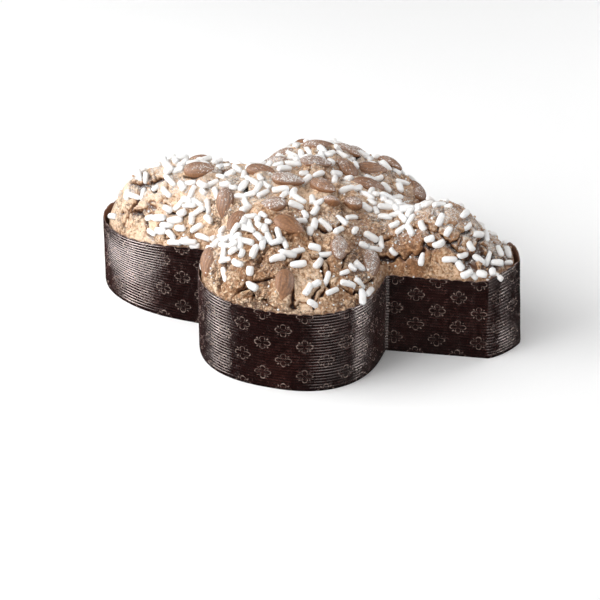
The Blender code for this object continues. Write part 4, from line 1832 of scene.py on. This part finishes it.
@dataclass
class PaperCase:
    """The paper mould: ribbed wall with a scalloped rim, plain inner face and flat base."""

    plan: DovePlan
    wall: float = 1.2 * MM
    base: float = 1.0 * MM
    rib_pitch: float = 2.25 * MM
    rib_depth: float = 0.70 * MM
    buckle: float = 0.30 * MM
    scallop: float = 1.2 * MM
    points_per_scallop: int = 5
    points_per_rib: int = 5
    foot_inset: float = 1.8 * MM
    corner_inset: float = 0.5 * MM
    inner_rows: tuple[tuple[float, float], ...] = ((0.0, 0.75), (1.2, 1.0), (12.0, 1.0), (0.0, 1.0))

    def build(self, material: bpy.types.Material) -> bpy.types.Object:
        """The wall as a profile carried round the outline.

        The outer face at height z stands in from the outline by half the rib depth times 1 - cos(2 pi z /
        pitch), and buckles a little by noise. The rim is cut as |sin| scallops. Each inner row is given by
        its depth below the rim in millimetres and its inset as a share of the wall, and the last one is the
        base.

        Args:
            material: the paper.

        Returns:
            The piece.
        """
        outline = self.plan.outline(self.points_per_scallop)
        count = len(outline)
        normals, cosine = self.plan.normals(outline)
        step = np.linalg.norm(np.roll(outline, -1, axis=0) - outline, axis=1)
        girth = np.concatenate([[0.0], np.cumsum(step)[:-1]])
        phase = np.arange(count) / self.points_per_scallop
        top = self.plan.rim_height(outline[:, 0])
        rim = top - self.scallop * (1.0 - np.abs(np.sin(np.pi * phase)) ** 0.8)
        levels = np.arange(1, int(self.plan.rim / self.rib_pitch) * self.points_per_rib) / self.points_per_rib
        levels = levels * self.rib_pitch
        heights = [np.zeros(count), np.zeros(count)]
        insets = [np.full(count, self.foot_inset), np.full(count, self.corner_inset)]
        groove = [1.0, 1.0]
        for level in levels:
            z = level + (top - self.plan.rim) * ease(np.array((level - 15.0 * MM) / (46.0 * MM)))
            ripple = 0.5 * self.rib_depth * (1.0 - math.cos(2 * math.pi * level / self.rib_pitch))
            buckle = self.buckle * (1.0 + lattice_noise(np.column_stack([girth, z * 1.6]), 17.0 * MM, 95))
            heights.append(np.minimum(z, rim - 0.15 * MM))
            insets.append(ripple + 0.5 * buckle + 0.05 * MM)
            # how deep in its rib groove each row lies, which the paper's colour uses for painted shade
            groove.append(ripple / self.rib_depth)
        inside = [0.0] * len(heights)
        for depth, inset in self.inner_rows:
            heights.append(rim - depth * MM)
            insets.append(np.full(count, self.wall * inset))
            inside.append(1.0)
            groove.append(0.3)
        heights[-1] = np.full(count, self.base)
        z = np.array(heights)
        inset = np.array(insets)
        plan = outline[None] + normals[None] * (inset / cosine[None])[..., None]
        flat = self.plan.lean(plan.reshape(-1, 2), z.ravel())
        points = np.column_stack([flat, z.ravel()])
        rows_count = len(z)
        quads = grid_faces(rows_count, count)
        below, above = len(points), len(points) + 1
        triangles = np.vstack([
            fan_faces(np.arange(count), below, False),
            fan_faces(np.arange((rows_count - 1) * count, rows_count * count), above, True)])
        every = np.vstack([points, [(0.0, 0.0, 0.0), (0.0, 0.0, self.base)]])
        uv = np.column_stack([np.tile(girth, rows_count), z.ravel()])
        uv = np.vstack([uv, [(0.0, 0.0), (0.0, 0.0)]])
        values = {
            "inside": np.concatenate([np.repeat(inside, count), [0.0, 1.0]]),
            "groove": np.concatenate([np.repeat(groove, count), [1.0, 0.3]]),
        }
        item = make_mesh("paper_case_ribbed", every, quads, triangles, values, uv)
        item.data.materials.append(material)
        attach(item, "root")
        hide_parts("paper_case")
        return item


@dataclass(frozen=True)
class SoftBox:
    """A soft light aimed at the bread, by its degrees round from the camera and above the floor.

    One that isn't mirrored lights matte surfaces only, and a shine is only mirrored.
    """

    name: str
    turn: float
    rise: float
    reach: float
    size: tuple[float, float]
    power: float
    mirrored: bool = True
    lights_matte: bool = True


@dataclass
class Studio:
    """Camera, plain pale floor and soft lights."""

    azimuth: float = 18.0
    elevation: float = 32.0
    distance: float = 2.0
    pixels_per_metre: float = 1420.0
    frame_pixels: float = 600.0
    sensor: float = 36.0
    origin_pixel: tuple[float, float] = (310.3, 306.3)
    aim_height: float = 60.0 * MM
    floor_colour: Colour = (0.985, 0.985, 0.985)
    floor_grain: Colour = (0.8, 0.8, 0.8)
    floor_half_size: float = 6.0
    floor_height: float = -0.05 * MM
    room_light: float = 0.42
    room_gloss: float = 0.04
    boxes: tuple[SoftBox, ...] = (
        SoftBox("left_box", -75.0, 34.0, 0.95, (1.0, 0.6), 10.0, mirrored=False),
        SoftBox("right_strip", 118.0, 22.0, 0.95, (0.35, 0.6), 2.2, mirrored=False),
        SoftBox("overhead", -45.0, 62.0, 1.5, (0.9, 0.9), 5.0),
        SoftBox("left_shine", -106.0, 16.0, 0.95, (0.9, 0.22), 10.5, lights_matte=False),
        SoftBox("front_shine", -76.0, 18.0, 0.95, (0.32, 0.24), 3.2, lights_matte=False),
        SoftBox("brow_shine", 32.0, 32.0, 1.1, (0.9, 0.3), 3.6, lights_matte=False),
        SoftBox("right_shine", 90.0, 24.0, 0.95, (0.62, 0.34), 11.0, lights_matte=False))

    def heading(self, turn: float, rise: float) -> Vector:
        """Unit vector away from the bread.

        Args:
            turn: degrees round from the camera, positive to the right.
            rise: degrees above the floor.

        Returns:
            The vector.
        """
        a, e = math.radians(self.azimuth + turn), math.radians(rise)
        return Vector((math.sin(a) * math.cos(e), -math.cos(a) * math.cos(e), math.sin(e)))

    @staticmethod
    def hang(name: str, data: bpy.types.ID, place: Vector, back: Vector) -> bpy.types.Object:
        """Put a camera or light at a place.

        Args:
            name: its name.
            data: the camera or light.
            place: where it stands.
            back: the direction that it turns its back to.

        Returns:
            The object, linked to the scene.
        """
        item = bpy.data.objects.new(name, data)
        item.location = place
        item.rotation_euler = (-back).to_track_quat("-Z", "Y").to_euler()
        bpy.context.scene.collection.objects.link(item)
        return item

    def add_camera(self) -> None:
        """Long lens on the origin, moved aside so that the origin falls on its pixel."""
        back = self.heading(0.0, self.elevation)
        right = Vector((math.cos(math.radians(self.azimuth)), math.sin(math.radians(self.azimuth)), 0.0))
        up = back.cross(right)
        centre = self.frame_pixels / 2
        aside = (centre - self.origin_pixel[0]) / self.pixels_per_metre
        upward = (self.origin_pixel[1] - centre) / self.pixels_per_metre
        data = bpy.data.cameras.new("camera")
        data.sensor_width = self.sensor
        data.lens = self.pixels_per_metre * self.distance * self.sensor / self.frame_pixels
        data.clip_start, data.clip_end = 0.05, 20.0
        place = right * aside + up * upward + back * self.distance
        bpy.context.scene.camera = self.hang("camera", data, place, back)

    def add_light(self, box: SoftBox) -> None:
        """Set up one soft box.

        Args:
            box: the soft box.
        """
        back = self.heading(box.turn, box.rise)
        data = bpy.data.lights.new(box.name, "AREA")
        data.shape = "RECTANGLE"
        data.size, data.size_y = box.size
        data.energy = box.power
        item = self.hang(box.name, data, Vector((0.0, 0.0, self.aim_height)) + back * box.reach, back)
        item.visible_glossy = box.mirrored
        item.visible_diffuse = box.lights_matte

    def add_floor(self) -> None:
        """A wide pale floor."""
        half, low = self.floor_half_size, self.floor_height
        corners = np.array([(-half, -half, low), (half, -half, low), (half, half, low), (-half, half, low)])
        floor = make_mesh("floor", corners, np.array([[0, 1, 2, 3]]))
        floor.visible_glossy = False
        constants = {"Roughness": 0.9, "Specular IOR Level": 0.1}
        material, graph, shader = new_material("floor_paint", constants)
        grain = graph.span(graph.noise(graph.place(), 400.0), 0.3, 0.7, 0.0, 0.02)
        graph.put(shader.inputs["Base Color"], graph.layered(self.floor_colour, (grain, self.floor_grain)))
        floor.data.materials.append(material)

    def add_world(self) -> None:
        """Even white surroundings, which gloss sees as a dim room."""
        world = bpy.data.worlds.new("surroundings")
        world.use_nodes = True
        graph = Graph(world.node_tree)
        glossy = graph.output("ShaderNodeLightPath", "Is Glossy Ray")
        strength = graph.math("MULTIPLY_ADD", glossy, self.room_gloss - self.room_light, self.room_light)
        background = world.node_tree.nodes["Background"]
        background.inputs["Color"].default_value = (1.0, 1.0, 1.0, 1.0)
        graph.put(background.inputs["Strength"], strength)
        bpy.context.scene.world = world

    def build(self) -> None:
        """Set the camera, the lights and the floor."""
        self.add_camera()
        self.add_world()
        self.add_floor()
        for box in self.boxes:
            self.add_light(box)
        bpy.context.scene.view_settings.view_transform = "Standard"


def main() -> None:
    """Build the bread and its surroundings in order, and report each piece."""
    logging.basicConfig(level=logging.INFO, format="%(name)s: %(message)s")
    Studio().build()
    plan = DovePlan()
    crown = Crown(plan)
    almonds = [Almond.from_node(node) for node in sorted(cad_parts) if node.startswith("almond_")]
    pieces = [PaperCase(plan).build(PaperFinish().material())]
    glaze, sugar = GlazeFinish().material(), SugarFinish().material()
    crust = GlazedCake(crown, almonds).build(glaze)
    pieces.append(crust)
    pieces += AlmondTopping(almonds).build(AlmondFinish().material())
    pieces.append(PearlSugar(crown, almonds, crust).build(sugar))
    pieces += [Crumbs(crust).build(Crumb.SUGAR, sugar), Crumbs(crust).build(Crumb.GLAZE, glaze)]
    for piece in pieces:
        LOG.info("%s: %d vertices, %d faces", piece.name, len(piece.data.vertices), len(piece.data.polygons))


if __name__ == "__main__":
    main()
